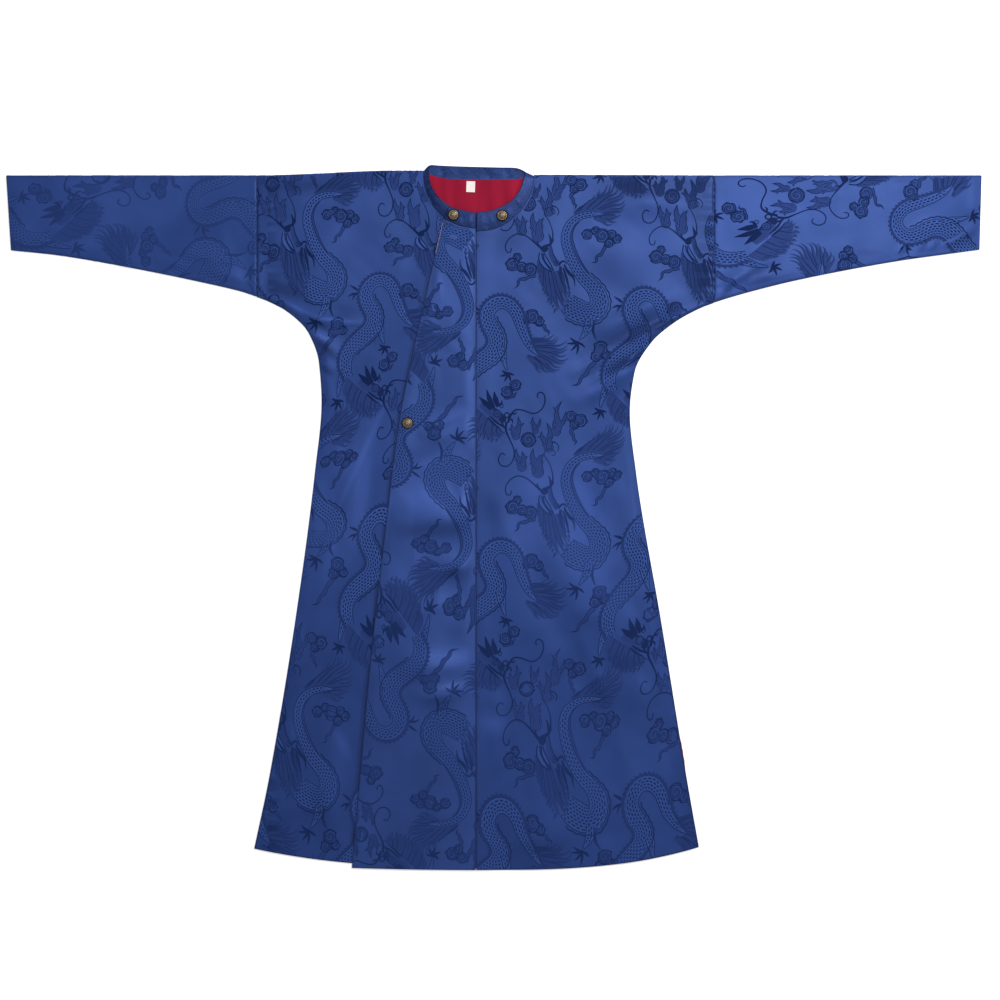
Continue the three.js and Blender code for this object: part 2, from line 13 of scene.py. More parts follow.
import bpy
import numpy as np
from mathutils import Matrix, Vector


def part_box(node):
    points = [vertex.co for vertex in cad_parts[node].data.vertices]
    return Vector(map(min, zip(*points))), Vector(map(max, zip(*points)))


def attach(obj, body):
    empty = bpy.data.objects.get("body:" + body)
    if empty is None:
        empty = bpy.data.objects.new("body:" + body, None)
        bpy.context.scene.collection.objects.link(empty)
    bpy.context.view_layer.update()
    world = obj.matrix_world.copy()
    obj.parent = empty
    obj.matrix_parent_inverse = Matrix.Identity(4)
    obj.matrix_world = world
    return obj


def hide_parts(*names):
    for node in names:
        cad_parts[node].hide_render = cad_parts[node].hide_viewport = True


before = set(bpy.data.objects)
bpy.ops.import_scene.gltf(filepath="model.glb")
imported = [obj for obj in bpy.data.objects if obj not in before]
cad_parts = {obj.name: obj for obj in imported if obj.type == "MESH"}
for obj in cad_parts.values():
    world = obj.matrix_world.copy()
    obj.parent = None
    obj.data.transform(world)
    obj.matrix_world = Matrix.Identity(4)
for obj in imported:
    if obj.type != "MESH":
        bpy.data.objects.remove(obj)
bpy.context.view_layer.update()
print("the packed robe has", len(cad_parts), "solids")

# %% [markdown]
# ## Where things are
# A tailor measures a robe from its centre seam and from its shoulder line, in millimetres. All the
# tables below do the same: "out" is a distance from the centre seam to either side, and "down" one
# from the shoulder line towards the hem. The overlap's solid gives both lines, because it starts at
# the centre seam and ends at the hem.

# %% From a tailor's millimetres to the scene's metres
LENGTH = 1300  # shoulder line to hem at the centre
GAP = 0.3  # room between sewn pieces

overlap_low, overlap_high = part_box("front_overlap")
centre_seam = overlap_high.x + GAP / 1000
shoulder_line = overlap_low.y + LENGTH / 1000
origin = np.array([centre_seam, shoulder_line, 0.0])


def to_scene(points):
    return np.asarray(points, float) / 1000 + origin


print("centre seam at x =", round(centre_seam, 4), "and shoulder line at y =", round(shoulder_line, 4))

# %% [markdown]
# ## The two halves of the body
# Each half is one piece of cloth: back, shoulder fold and front with the upper sleeve. The halves
# differ a little, because the robe wasn't laid down quite evenly. "seam" is where the sleeve is sewn
# on, "top" is how far the shoulder rises at the neck, and the last four numbers bend the hem.

# %% Measures of each half
RIGHT = SimpleNamespace(
    name="right", sign=-1, seam_out=410, seam_drop=228, cuff_out=879, cuff_skew=9, top=9,
    neck_out=99, neck_drop=100, hem_half=415, hem_rise=35, hem_power=2.6, hem_lift=5,
    side=[(228, 410), (237, 387), (256, 352), (294, 314), (350, 294), (424, 289), (552, 301),
          (832, 338), (1113, 385), (1265, 416)],
    under=[(410, 228), (441, 218), (520, 200), (613, 181), (785, 151), (879, 141)],
)
LEFT = SimpleNamespace(
    name="left", sign=1, seam_out=445, seam_drop=239, cuff_out=946, cuff_skew=4, top=1,
    neck_out=109, neck_drop=106, hem_half=417, hem_rise=43, hem_power=3, hem_lift=0,
    side=[(239, 445), (249, 419), (275, 372), (312, 329), (368, 297), (443, 288), (552, 299),
          (832, 346), (1057, 383), (1257, 417)],
    under=[(445, 239), (470, 231), (512, 219), (606, 196), (793, 161), (886, 148), (946, 140)],
)
HEM_FROM = 900  # rows bend to the hem's curve below this
SHOULDER_TO = 150  # rows bend to the shoulder's slope above this
VENT_FROM = 1010  # the side seam ends here
print("the hem is", (RIGHT.hem_half + LEFT.hem_half) / 10, "cm wide")

# %% [markdown]
# ## Curves through a table
# A pattern cutter marks a few points and draws a smooth line through them with a curved ruler. This
# helper is that ruler. It never swings past its points, so an edge has no bumps that nobody drew.

# %% A curved ruler
def smooth(t):
    t = np.clip(t, 0, 1)
    return t * t * (3 - 2 * t)


def mix(a, b, t):
    return a + (b - a) * t


def curve_through(table):
    at, value = np.array(table, float).T
    rise = np.diff(value) / np.diff(at)
    before, after = np.append(rise[:1], rise), np.append(rise, rise[-1:])
    same_way = before * after > 0
    slope = np.where(same_way, 2 * before * after / np.where(same_way, before + after, 1), 0)

    def value_at(x):
        x = np.clip(x, at[0], at[-1])
        i = np.clip(np.searchsorted(at, x, side="right") - 1, 0, len(at) - 2)
        step = at[i + 1] - at[i]
        t = (x - at[i]) / step
        start = value[i] * (1 + 2 * t) * (1 - t) ** 2 + slope[i] * t * (1 - t) ** 2 * step
        end = value[i + 1] * t * t * (3 - 2 * t) + slope[i + 1] * t * t * (t - 1) * step
        return start + end

    return value_at


for half in (RIGHT, LEFT):
    half.side_at = curve_through(half.side)
    half.under_at = curve_through(half.under)
print("chest width:", round(float(RIGHT.side_at(424) + LEFT.side_at(424)) / 10, 1), "cm")

# %% [markdown]
# ## Outlines of the halves
# Four short rules give every edge of a half: how the hem curves up at the sides, where the side edge
# is, how the shoulder slopes, and where a point of a given row lies.

# %% Edges of a half
def hem_rise(half, out):
    return half.hem_lift + half.hem_rise * (out / half.hem_half) ** half.hem_power


def hem_share(down):
    return smooth((down - HEM_FROM) / (LENGTH - HEM_FROM))


def body_out(half, down):
    on_side = half.side_at(down - hem_rise(half, half.hem_half) * hem_share(down))
    return np.where(down <= half.seam_drop, half.seam_out, on_side)


def slope_rise(half, out):
    return half.top * (1 - smooth((out - 140) / (half.seam_out - 140)))


def row_y(half, down, out):
    near_shoulder = 1 - smooth(down / SHOULDER_TO)
    return -down + hem_rise(half, out) * hem_share(down) + slope_rise(half, out) * near_shoulder


def down_at(half, out, y):
    down = -np.asarray(y, float)
    for _ in range(4):
        down = -y + hem_rise(half, out) * hem_share(down)
        down = down + slope_rise(half, out) * (1 - smooth(down / SHOULDER_TO))
    return down


overlap_edge = curve_through(
    [(83, 61), (213, 91), (338, 119), (458, 143), (684, 172), (914, 198), (1296, 232)])
print("the overlap ends", float(overlap_edge(1296)), "mm from the centre seam at the hem")

# %% [markdown]
# ## Layers
# Laid flat, the robe is a stack: back, lining, front and, over the right half, the overlap. These
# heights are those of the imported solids. The cloth's right side lies a little under the solid's own
# face, which leaves room for the woven figure that stands proud of the satin.

# %% Heights of the layers
CLOTH = 1.2
LINING = 1.0
BACK_Z = CLOTH / 2
LINING_Z = CLOTH + GAP + LINING / 2
FRONT_Z = CLOTH + GAP + LINING + GAP + CLOTH / 2
OVER_Z = FRONT_Z + CLOTH + GAP
SEAM_Z = CLOTH + GAP + CLOTH / 2
FOLD_R = (FRONT_Z - BACK_Z) / 2
FACE = 0.25  # right side of the cloth, out from the middle of the solid
INSIDE = 0.5  # wrong side of the cloth, in from the middle of the solid
print("the front lies", FRONT_Z, "mm and the overlap", OVER_Z, "mm above the table")

# %% [markdown]
# ## Soft folds and creases
# Satin shows every fold, because its shine turns from light to dark on a slope of a few degrees. Each
# fold is a rounded ridge along a straight crest: two ends, a half width and a height. Long low ones
# come from the robe's own weight, and the short sharp ones from how it was packed.

# %% Tables of folds: x0, y0, x1, y1, half width, height
FRONT_FOLDS = [
    (368, -224, 240, -288, 21, 5.0), (300, -362, 190, -422, 18, 4.0), (250, -60, 400, -48, 26, 2.5),
    (150, -700, 262, -1010, 34, 3.0), (96, -860, 70, -1090, 30, 2.5), (308, -640, 240, -760, 22, 2.5),
    (-330, -262, -240, -285, 14, 3.0), (-308, -300, -262, -335, 13, 3.0),
    (-182, -440, -286, -780, 30, 4.0), (-240, -420, -270, -560, 16, 2.0),
    (-268, -900, -300, -1120, 28, 2.5), (-380, -40, -240, -52, 22, 2.5),
]
OVERLAP_FOLDS = [
    (-118, -512, -12, -470, 18, 3.0), (-140, -660, -16, -648, 20, 2.5), (-120, -972, -14, -950, 18, 3.0),
    (-60, -760, -100, -900, 20, 2.0),
]
SLEEVE_FOLDS = [
    (905, -60, 820, -118, 16, 2.5), (470, -190, 560, -150, 18, 3.0), (-450, -170, -560, -140, 18, 2.5),
    (-700, -40, -820, -52, 18, 2.0),
]


def ridges(folds, x, y):
    height = np.zeros(np.broadcast(x, y).shape)
    for x0, y0, x1, y1, width, top in folds:
        dx, dy = x1 - x0, y1 - y0
        along = ((x - x0) * dx + (y - y0) * dy) / (dx * dx + dy * dy)
        near = np.clip(along, 0, 1)
        away = np.hypot(x - x0 - dx * near, y - y0 - dy * near) / width
        height += top * smooth(1 - abs(along - 0.5) / 0.85) * np.exp(-away * away)
    return height


print(len(FRONT_FOLDS) + len(OVERLAP_FOLDS) + len(SLEEVE_FOLDS), "large folds")

# %% [markdown]
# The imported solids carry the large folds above. The finer ones below are too small for a solid: hard
# little creases at the underarms, drag lines on the overlap and shallow dents in the skirt. A faint
# swell runs over all of it, since no cloth lies as flat as glass.

# %% Fine creases and a faint swell
FINE_CREASES = [
    (424, -247, 286, -306, 7, 3.0), (352, -276, 296, -330, 7, 2.0), (330, -300, 286, -352, 6, 1.6),
    (300, -330, 250, -392, 9, 2.0), (430, -60, 250, -42, 14, 0.8), (268, -330, 176, -372, 12, 1.8),
    (-379, -229, -296, -267, 6, 2.6), (-352, -262, -304, -300, 6, 2.0), (-312, -290, -276, -309, 6, 2.2),
    (-296, -268, -214, -276, 6, 2.2), (-292, -340, -262, -364, 6, 2.0), (-288, -380, -250, -470, 12, 0.9),
    (-256, -300, -170, -322, 14, -0.8), (-214, -470, -286, -640, 12, 1.2),
    (-250, -600, -300, -800, 16, 1.2), (-180, -640, -214, -760, 12, -0.9),
    (-300, -860, -330, -1010, 14, 1.0), (-210, -1010, -196, -1180, 16, 1.0),
    (60, -430, 130, -560, 26, -0.9), (170, -520, 260, -600, 22, 0.9), (34, -600, 86, -770, 24, 2.6),
    (110, -760, 180, -900, 20, -1.0), (200, -880, 256, -1000, 16, 2.4), (126, -1000, 112, -1180, 24, 2.4),
    (262, -1020, 306, -1200, 16, 2.2), (326, -820, 350, -1010, 10, 2.2), (40, -900, 30, -1100, 16, 2.0),
    (150, -120, 330, -150, 30, 0.9), (180, -200, 300, -210, 26, -0.8), (-170, -130, -330, -150, 30, 0.9),
]
OVERLAP_CREASES = [
    (-100, -480, -30, -446, 12, 2.6), (-126, -540, -60, -520, 12, -0.9), (-130, -632, -14, -636, 34, 6.0),
    (-74, -736, -10, -732, 22, 4.6), (-150, -830, -60, -800, 14, 1.6), (-130, -926, -12, -918, 24, 5.0),
    (-104, -974, -12, -958, 8, 3.0), (-30, -560, -22, -640, 9, 0.7), (-60, -1060, -90, -1180, 16, 0.8),
    (-66, -112, -20, -118, 6, 0.8), (-84, -160, -66, -230, 7, 0.6), (-96, -300, -76, -410, 14, 0.8),
]


def swell(x, y):
    broad = np.sin(x / 24 + y / 37 + 1.4 * np.sin(y / 140 + x / 210) + 0.4)
    broad = broad * (0.6 + 0.4 * np.sin(y / 71 - x / 130 + 1.1))
    cross = np.sin(x / 15 - y / 19 + 1.6 * np.sin(x / 95 + y / 63)) * np.sin(y / 59 + x / 77 + 0.7)
    fine = np.sin(x / 6.5 + y / 9 + 2.2 * np.sin(y / 47 - x / 80))
    fine = fine * np.clip(np.sin(x / 57 - y / 39 + 0.8), 0, 1)
    return 0.62 * broad + 0.30 * cross + 0.12 * fine


print(len(FINE_CREASES) + len(OVERLAP_CREASES), "fine creases")

# %% [markdown]
# ## Painted sheen and shade
# Satin's long floats mirror the light, so a slope too slight to measure still looks light or dark. The table
# paints such places into the colour as soft strokes, together with some shadows, such as those round the
# buttons: two ends, a half width and how much lighter (above zero, painted sheen) or darker (below zero,
# painted shade) the cloth looks there. Every piece of satin carries the result as an attribute.

# %% Table of painted sheen and shade: x0, y0, x1, y1, half width, strength
PAINTED_SHEEN = [
    (232, -22, 452, -24, 20, -1.4), (244, -316, 372, -268, 13, -1.5), (356, -254, 386, -241, 9, -0.8),
    (298, -306, 348, -289, 4.5, 1.2), (270, -375, 298, -357, 4.5, 1.2), (233, -398, 260, -378, 4.5, 0.9),
    (237, -373, 310, -331, 9, -1.2), (359, -266, 385, -258, 5, 0.9), (453, -238, 480, -207, 4.5, -1.6),
    (446, -226, 472, -200, 4.5, 1.2), (437, -240, 442, -220, 5, -1.4), (180, -412, 250, -392, 10, 0.6),
    (200, -170, 260, -175, 30, -0.4), (10, -125, 90, -118, 18, -0.45), (12, -165, 60, -170, 20, 0.4),
    (250, -600, 290, -690, 22, -0.65), (80, -570, 130, -600, 26, 0.45), (120, -120, 220, -140, 24, 0.4),
    (300, -120, 420, -140, 22, 0.35), (215, -725, 250, -790, 18, 0.6), (270, -790, 296, -836, 14, 0.7),
    (8, -960, 60, -985, 16, 0.6), (8, -1022, 52, -1028, 14, 0.6), (180, -825, 250, -845, 16, -0.55),
    (230, -905, 318, -925, 18, -0.4), (300, -925, 322, -965, 10, 0.6), (222, -1240, 262, -1256, 16, 0.5),
    (66, -1262, 165, -1255, 14, -0.5), (130, -870, 180, -890, 20, 0.4), (60, -700, 100, -760, 18, 0.35),
    (340, -1010, 362, -1120, 12, 0.35), (-404, -22, -232, -14, 14, -0.85),
    (-390, -112, -345, -122, 16, 0.6), (-270, -90, -215, -130, 26, 0.45),
    (-262, -258, -215, -262, 16, -0.65), (-384, -206, -318, -226, 12, -1.3),
    (-290, -312, -268, -330, 8, -1.4), (-306, -270, -280, -286, 6, -1.0),
    (-321, -261, -345, -244, 4.5, 1.2), (-308, -294, -280, -310, 4.5, 1.3),
    (-296, -268, -236, -274, 4.5, 1.0), (-284, -350, -265, -365, 4.5, 1.1),
    (-291, -356, -269, -375, 4.5, -1.2), (-272, -285, -250, -335, 9, 0.6),
    (-252, -570, -256, -700, 13, -0.5), (-262, -640, -282, -760, 12, 0.5),
    (-330, -980, -345, -1080, 10, 0.5), (-250, -1050, -262, -1180, 14, 0.4),
    (-300, -1150, -280, -1250, 16, -0.4), (-150, -150, -110, -170, 18, 0.3),
    (-379, -229, -296, -267, 4, 0.8), (-296, -268, -214, -276, 4, 0.7), (-312, -290, -276, -309, 4, 0.8),
    (-140, -600, -70, -606, 32, 0.9), (-70, -520, -30, -540, 20, 0.45),
    (-150, -662, -12, -658, 17, -0.85), (-150, -720, -130, -780, 22, 0.7),
    (-60, -745, -8, -742, 15, -0.85), (-60, -900, -8, -896, 16, 0.95), (-45, -850, -8, -846, 15, -0.5),
    (-84, -972, -8, -960, 5, 0.9), (-95, -990, -8, -986, 12, -0.6), (-112, -492, -56, -500, 12, -0.85),
    (-10, -480, -10, -560, 8, -0.5), (-60, -215, -30, -262, 22, 0.5), (424, -10, 422, -270, 20, -0.95),
    (-72, -66, -52, -80, 7, -1.3), (56, -62, 74, -48, 6, -1.2), (40, -84, 62, -87, 4, -0.9),
    (-34, -66, -28, -82, 4, -0.8), (-48, -89, -2, -98, 3, -1.1), (-28, -77, -8, -82, 6, 0.5),
    (14, -80, 30, -84, 6, 0.6), (-94, -20, -78, -58, 9, -0.9), (112, -6, 104, -40, 4, -0.9),
    (-70, -3, -12, 5.6, 3, -1.0), (-12, 5.6, 83, -6.6, 3, -1.0), (-50, 14, -20, 12, 5, 0.5),
    (30, 10, 70, 4, 5, 0.5), (-20, -108, 40, -112, 7, -0.6), (500, -188, 556, -182, 14, -0.55),
    (446, -232, 500, -206, 5, 0.9), (711, -146, 760, -144, 6, -0.8), (876, -125, 935, -115, 16, -0.6),
    (560, -70, 700, -60, 40, 0.24), (-470, -60, -560, -90, 30, -0.3), (-860, -90, -820, -120, 18, 0.6),
    (-760, -140, -690, -120, 12, 0.4), (-450, -160, -440, -200, 14, 0.5),
    (150, -520, 200, -800, 115, 1.2), (-250, -480, -310, -800, 60, 0.8), (-80, -460, -90, -800, 60, 0.55),
    (180, -940, 200, -1230, 150, 0.3), (-860, -60, -520, -70, 60, 0.35), (150, -170, 190, -290, 80, -0.3),
    (-100, -980, -110, -1230, 80, -0.15), (-200, -140, -230, -290, 80, 0.25),
    (0, -596, 50, -636, 28, -0.5), (118, -690, 170, -800, 34, -0.55), (180, -556, 215, -640, 20, 0.4),
    (215, -960, 300, -985, 30, -0.35), (6, -1010, 62, -1036, 26, 0.5), (168, -945, 200, -967, 8, 0.6),
    (118, -1170, 180, -1215, 20, 0.3), (-170, -432, -268, -646, 5, 0.85),
    (-205, -530, -222, -700, 14, 0.55), (-264, -1036, -238, -1088, 9, 0.8),
    (-337, -812, -324, -904, 14, 0.6), (-100, -976, -24, -967, 6, 0.7),
]


# Painted sheen (above zero) and painted shade (below zero) at points of the cloth.
def painted_sheen_at(x, y):
    return ridges(PAINTED_SHEEN, x, y)


print("the sheen changes in", len(PAINTED_SHEEN), "places")

# %% [markdown]
# ## Seams that pull
# A row of machine stitches shortens the cloth beside it by a few per cent, so the cloth puckers into
# small scallops. They show best at the two sleeve seams, where the grain of the pieces runs across.

# %% Puckers beside a seam
def puckers(away, along, depth=1.9, reach=9.0, length=14.0):
    wobble = np.sin(along / 41 + 1.3) * 0.9 + np.sin(along / 23) * 0.5
    scallop = 0.5 - 0.5 * np.cos(2 * np.pi * along / length + wobble)
    strength = 0.65 + 0.35 * np.sin(along / 55 + 0.5)
    groove = np.exp(-(away / 1.6) ** 2)
    return depth * strength * scallop * np.exp(-((away - 4.5) / reach) ** 2) * (1 - groove) - 0.5 * groove


print("deepest pucker:", round(float(puckers(4.5, np.arange(1300.0)).max()), 2), "mm")

# %% [markdown]
# ## Height of the front
# The front rises onto the overlap at the centre seam, dips where it is sewn to the back at its side, and
# folds only between them. The same rule gives the cloth its shape and tells the woven figure and the stitches
# how high they lie.

# %% Height of the middle of the front
EDGE_STRIP = 14
CLIMB = 42


def front_height(half, down, out, y):
    x = half.sign * out
    limit = body_out(half, down)
    sewn = (down > half.seam_drop) & (down < VENT_FROM)
    tuck = np.where(sewn, 1 - smooth((limit - out) / EDGE_STRIP), 0)
    if half is LEFT:
        clear, climb = 1.0, 1 - smooth(out / CLIMB)
    else:
        clear, climb = smooth((out - overlap_edge(down) - 34) / 30), 0.0  # flat under the overlap
    clear = clear * (1 - climb) * smooth((limit - out) / EDGE_STRIP) * smooth((down - 4) / 30)
    loose = ridges(FRONT_FOLDS, x, y) + ridges(FINE_CREASES, x, y) + swell(x, y) + 0.3
    on_seam = smooth((half.seam_drop + 6 - down) / 8) * smooth((down - 6) / 20)
    pulled = puckers(half.seam_out - out, y) * on_seam
    return FRONT_Z + (OVER_Z - FRONT_Z) * climb - (FRONT_Z - SEAM_Z) * tuck + loose * clear + pulled


def overlap_height(x, y, edge, down):
    clear = smooth(-x / 22) * smooth((edge + x) / 16)
    loose = ridges(OVERLAP_FOLDS, x, y) + ridges(OVERLAP_CREASES, x, y) + swell(x, y) + 1.0
    return OVER_Z + loose * clear * smooth((LENGTH - down) / 40) * smooth((down - 96) / 24)


print("front at the chest:", round(float(front_height(LEFT, 424.0, 150.0, -424.0)), 2), "mm up")
# %% [markdown]
# ## From a grid of points to closed cloth
# A piece of cloth is a thin shell: a right side, a wrong side and an edge all round. Both sides come
# from one grid of points. The edge is turned in a little and gets a middle row, so that it looks like
# a hem that has been folded and pressed, and not like cut card.

# %% Build a shell
UP = np.array([0.0, 0.0, 1.0])


def together(*parts):
    """Join numbers and grids to points. Each is first stretched to the shape of the largest."""
    return np.stack(np.broadcast_arrays(*parts), axis=-1)


def outward(grid):
    across = np.gradient(grid, axis=1)
    down_rows = np.gradient(grid, axis=0)
    for step in (across, down_rows):
        step /= np.maximum(np.linalg.norm(step, axis=2, keepdims=True), 1e-9)
    push = np.zeros_like(grid)
    push[:, 0] -= across[:, 0]
    push[:, -1] += across[:, -1]
    push[0] -= down_rows[0]
    push[-1] += down_rows[-1]
    return push


def grid_faces(rows, columns, first, flip):
    r, c = np.meshgrid(np.arange(rows - 1), np.arange(columns - 1), indexing="ij")
    a = first + r * columns + c
    quads = together(a, a + 1, a + columns + 1, a + columns).reshape(-1, 4)
    return quads[:, ::-1] if flip else quads


def rim(rows, columns):
    index = np.arange(rows * columns).reshape(rows, columns)
    return np.concatenate([index[0], index[1:, -1], index[-1, -2::-1], index[-2:0:-1, 0]])


def shell_parts(middle, normal=UP, face=FACE, inside=INSIDE, round_it=0.35):
    rows, columns = middle.shape[:2]
    tuck = outward(middle) * round_it
    outer, inner = middle + normal * face - tuck, middle - normal * inside - tuck
    loop = rim(rows, columns)
    edge = ((middle + normal * (face - inside) / 2).reshape(-1, 3))[loop]
    points = np.vstack([outer.reshape(-1, 3), inner.reshape(-1, 3), edge])
    count = rows * columns
    around = 2 * count + np.arange(len(loop))
    following, up_next = np.roll(around, -1), np.roll(loop, -1)
    faces = [
        grid_faces(rows, columns, 0, False),
        grid_faces(rows, columns, count, True),
        together(up_next, loop, around, following),
        together(following, around, loop + count, up_next + count),
    ]
    return points, np.vstack(faces), loop


print("a shell of 3 by 3 points has", len(shell_parts(np.zeros((3, 3, 3)))[1]), "faces")

# %% [markdown]
# A mesh also needs a flat map, which keeps the weave straight. Two attributes carry painted light to the
# finish: painted shade along each edge, where the cloth is doubled, and the painted sheen and shade of the
# satin. These helpers give every piece all of them in the same way. If a shell comes out inside out, all its
# faces are turned round.

# %% Make an object of it
def linked(name, data):
    """Put a mesh, a lamp or a camera into the scene."""
    thing = bpy.data.objects.new(name, data)
    bpy.context.scene.collection.objects.link(thing)
    return thing


def mesh_of(name, points, faces, smooth_it=True):
    mesh = bpy.data.meshes.new(name)
    mesh.from_pydata(to_scene(points).tolist(), [], faces)
    mesh.polygons.foreach_set("use_smooth", [smooth_it] * len(mesh.polygons))
    return mesh


def keep_flat_map(mesh, flat_map):
    corners = np.zeros(len(mesh.loops), int)
    mesh.loops.foreach_get("vertex_index", corners)
    layer = mesh.uv_layers.new(name="OFBake")
    layer.uv.foreach_set("vector", np.asarray(flat_map, np.float32)[corners].ravel())


def keep_value(mesh, name, values, kind="FLOAT"):
    data = mesh.attributes.new(name, kind, "POINT").data
    field = "value" if kind == "FLOAT" else "vector"
    data.foreach_set(field, np.asarray(values, np.float32).ravel())


def volume_of(points, faces):
    a, b, c, d = (points[faces[:, i]] for i in range(4))
    return float((np.cross(a, b) * c).sum() + (np.cross(a, c) * d).sum()) / 6


def new_piece(name, points, faces, flat_map, edge):
    if volume_of(points - points.mean(axis=0), faces) < 0:
        faces = faces[:, ::-1]
    mesh = mesh_of(name, points, faces.tolist())
    keep_flat_map(mesh, flat_map)
    # Painted edge shade, and painted sheen and shade, for the finish to read.
    if edge is not None:
        keep_value(mesh, "EdgeShade", edge)
    keep_value(mesh, "PaintedSheen", painted_sheen_at(points[:, 0], points[:, 1]))
    mesh.validate()
    mesh.update()
    print(name, "has", sum(len(p.vertices) - 2 for p in mesh.polygons), "triangles")
    return linked(name, mesh)


def cloth(name, middle, flat, edge=None, under=(1, 1, 0.5, 0), **shell):
    """A shell with its flat map. "under" scales the map of the wrong side and moves it aside."""
    points, faces, loop = shell_parts(middle, **shell)
    flat = flat.reshape(-1, 2)
    if edge is not None:
        edge = np.concatenate([edge.reshape(-1), edge.reshape(-1), np.ones(len(loop))])
    return new_piece(name, points, faces, np.vstack([flat, flat * under[:2] + under[2:], flat[loop]]), edge)


# %% [markdown]
# ## Rows and columns of a half
# Rows run from the back's hem up the back, over the shoulder fold and down the front. Near the neck
# they start on the neckline, which is part of an ellipse. Rows and columns lie closer together beside
# every edge, where the cloth bends most.

# %% Lay out the rows and columns
NECK_GAP = 1.2  # room that the solids leave round the neck
NECK_TUCK = -0.6  # the cloth itself runs in under the collar
# Rows of the back's neckline: how far down, share of the neck's half width, share of the slope's rise.
BACK_NECK = [(11.6, 0, 0), (10.8, 0.59, 0.1), (8.8, 0.86, 0.7), (5, 0.98, 0.9)]
NEAR_EDGE = np.array([0, 0.8, 2, 4, 6.5, 9.5, 14, 19, 25])
NEAR_SEAM = np.array([0, 0.8, 2, 4, 7])


def columns_between(start, end, across):
    start, end = np.broadcast_arrays(np.atleast_1d(start), end)
    first = start[:, None] + NEAR_EDGE
    last = end[:, None] - NEAR_EDGE[::-1]
    share = np.arange(1, across) / across
    middle = first[:, -1:] + (last[:, :1] - first[:, -1:]) * share
    return np.hstack([first, middle, last])


def rows_between(start, end, step, fine_start=False, fine_end=False):
    lines = np.linspace(start, end, max(3, int(round((end - start) / step)) + 1))
    if fine_start:
        lines = np.concatenate([start + NEAR_SEAM, lines[lines > start + 9]])
    if fine_end:
        lines = np.concatenate([lines[lines < end - 9], (end - NEAR_SEAM)[::-1]])
    return lines


def neck_rows(half, count=22):
    angle = np.linspace(0.05, np.pi / 2, count)
    drop = (half.neck_drop + NECK_TUCK) * np.sin(angle)
    down = drop
    for _ in range(5):
        down = drop + half.top * (1 - smooth(down / SHOULDER_TO))
    return down, np.maximum(GAP, (half.neck_out + NECK_TUCK) * np.cos(angle))


print("rows start on the neckline down to", round(float(neck_rows(LEFT)[0][-1]), 1), "mm")

# %% [markdown]
# One half is laid out in the order in which its cloth runs: back, back neckline, shoulder fold, front.
# On its flat map the front takes the lowest 1300 mm, the fold follows at 1380 and the back from 1400.

# %% Build a half of the body
def edge_shade_of(out, down, start, end):
    """Painted edge shade: 1 where the cloth is turned in double along an edge, 0 where it is single."""
    side = np.minimum((out - start) * 1.4, end - out)
    return 1 - smooth(np.minimum(side, LENGTH - down) / 4.4)


def back_height(half, x, y, end):
    return BACK_Z + 0.12 * (swell(x, y) + 0.6) * smooth((end - half.sign * x) / 20)


def body_half(half, front_step=6.0, back_step=11.0, across=54):
    middles, normals, edges, maps = [], [], [], []
    far = half.seam_out - GAP / 2

    def add_rows(out, y, z, ny, nz, edge, flat_y):
        middles.append(together(half.sign * out, y, z))
        normals.append(together(0 * out, ny, nz))
        edges.append(edge)
        maps.append(together(out, flat_y))

    # back, from its hem up to the neck
    down = np.sort(np.concatenate([
        rows_between(half.seam_drop, LENGTH, back_step, True, True),
        rows_between(SHOULDER_TO, half.seam_drop - 8, 16)]))[::-1][:, None]
    end = np.where(down <= half.seam_drop, far, body_out(half, down))
    out = columns_between(GAP, end[:, 0], across)
    y = row_y(half, down, out) + hem_share(down)
    z = back_height(half, half.sign * out, y, end)
    add_rows(out, y, z, 0, -1, edge_shade_of(out, down, GAP, end), 1400 - y)

    # back neckline and shoulder fold
    for neck_down, share, rise in BACK_NECK:
        out = columns_between(GAP + share * half.neck_out, far, across)
        y = -neck_down + rise * slope_rise(half, out)
        add_rows(out, y, BACK_Z, 0, -1, edge_shade_of(out, 0, -9, far), 1400 - y)
    out = columns_between(half.neck_out + NECK_TUCK, far, across)
    for angle in np.linspace(-np.pi / 2, np.pi / 2, 9):
        y = slope_rise(half, out) - FOLD_R - CLOTH / 2 + FOLD_R * np.cos(angle)
        z = BACK_Z + FOLD_R * (1 + np.sin(angle))
        add_rows(out, y, z, np.cos(angle), np.sin(angle), edge_shade_of(out, 0, -9, far), 1380 - FOLD_R * angle)

    # front, from the neckline down to the hem
    neck_down, neck_from = neck_rows(half)
    rest = np.concatenate([
        rows_between(neck_down[-1] + 3, half.seam_drop, front_step, False, True),
        rows_between(half.seam_drop, LENGTH, front_step, True, True)[1:]])
    down = np.concatenate([neck_down, rest])[:, None]
    start = np.concatenate([neck_from, np.full(len(rest), GAP)])
    end = np.where(down <= half.seam_drop, far, body_out(half, down))
    out = columns_between(start, end[:, 0], across)
    y = row_y(half, down, out)
    # Painted shade along the edges of the half.
    edge_shade = edge_shade_of(out, down, np.where(down <= neck_down[-1], -50.0, start[:, None]), end)
    if half is RIGHT:
        # A painted shadow on the right front, just beside the overlap's free edge.
        overlap_shadow = np.exp(-(((out - overlap_edge(down) - 1.2) / 4.2) ** 2))
        edge_shade = np.maximum(edge_shade, overlap_shadow * (down > half.neck_drop))
    add_rows(out, y, front_height(half, down, out, y), 0, 1, edge_shade, y + 1300)

    flat = np.vstack(maps) / [1000, 2800] + [0.02, 0.03]
    return cloth(f"cloth_body_{half.name}", np.vstack(middles), flat, np.vstack(edges),
                 (0.4, 0.95, 0.55, 0), normal=np.vstack(normals))


body_left = body_half(LEFT)
body_right = body_half(RIGHT)

# %% [markdown]
# ## The overlap
# The overlap is a long panel that widens towards the hem. It is sewn to the left half at the centre
# seam and its slanting edge lies free. Its top follows the collar's seam, so its first rows bend from
# that curve to straight lines.

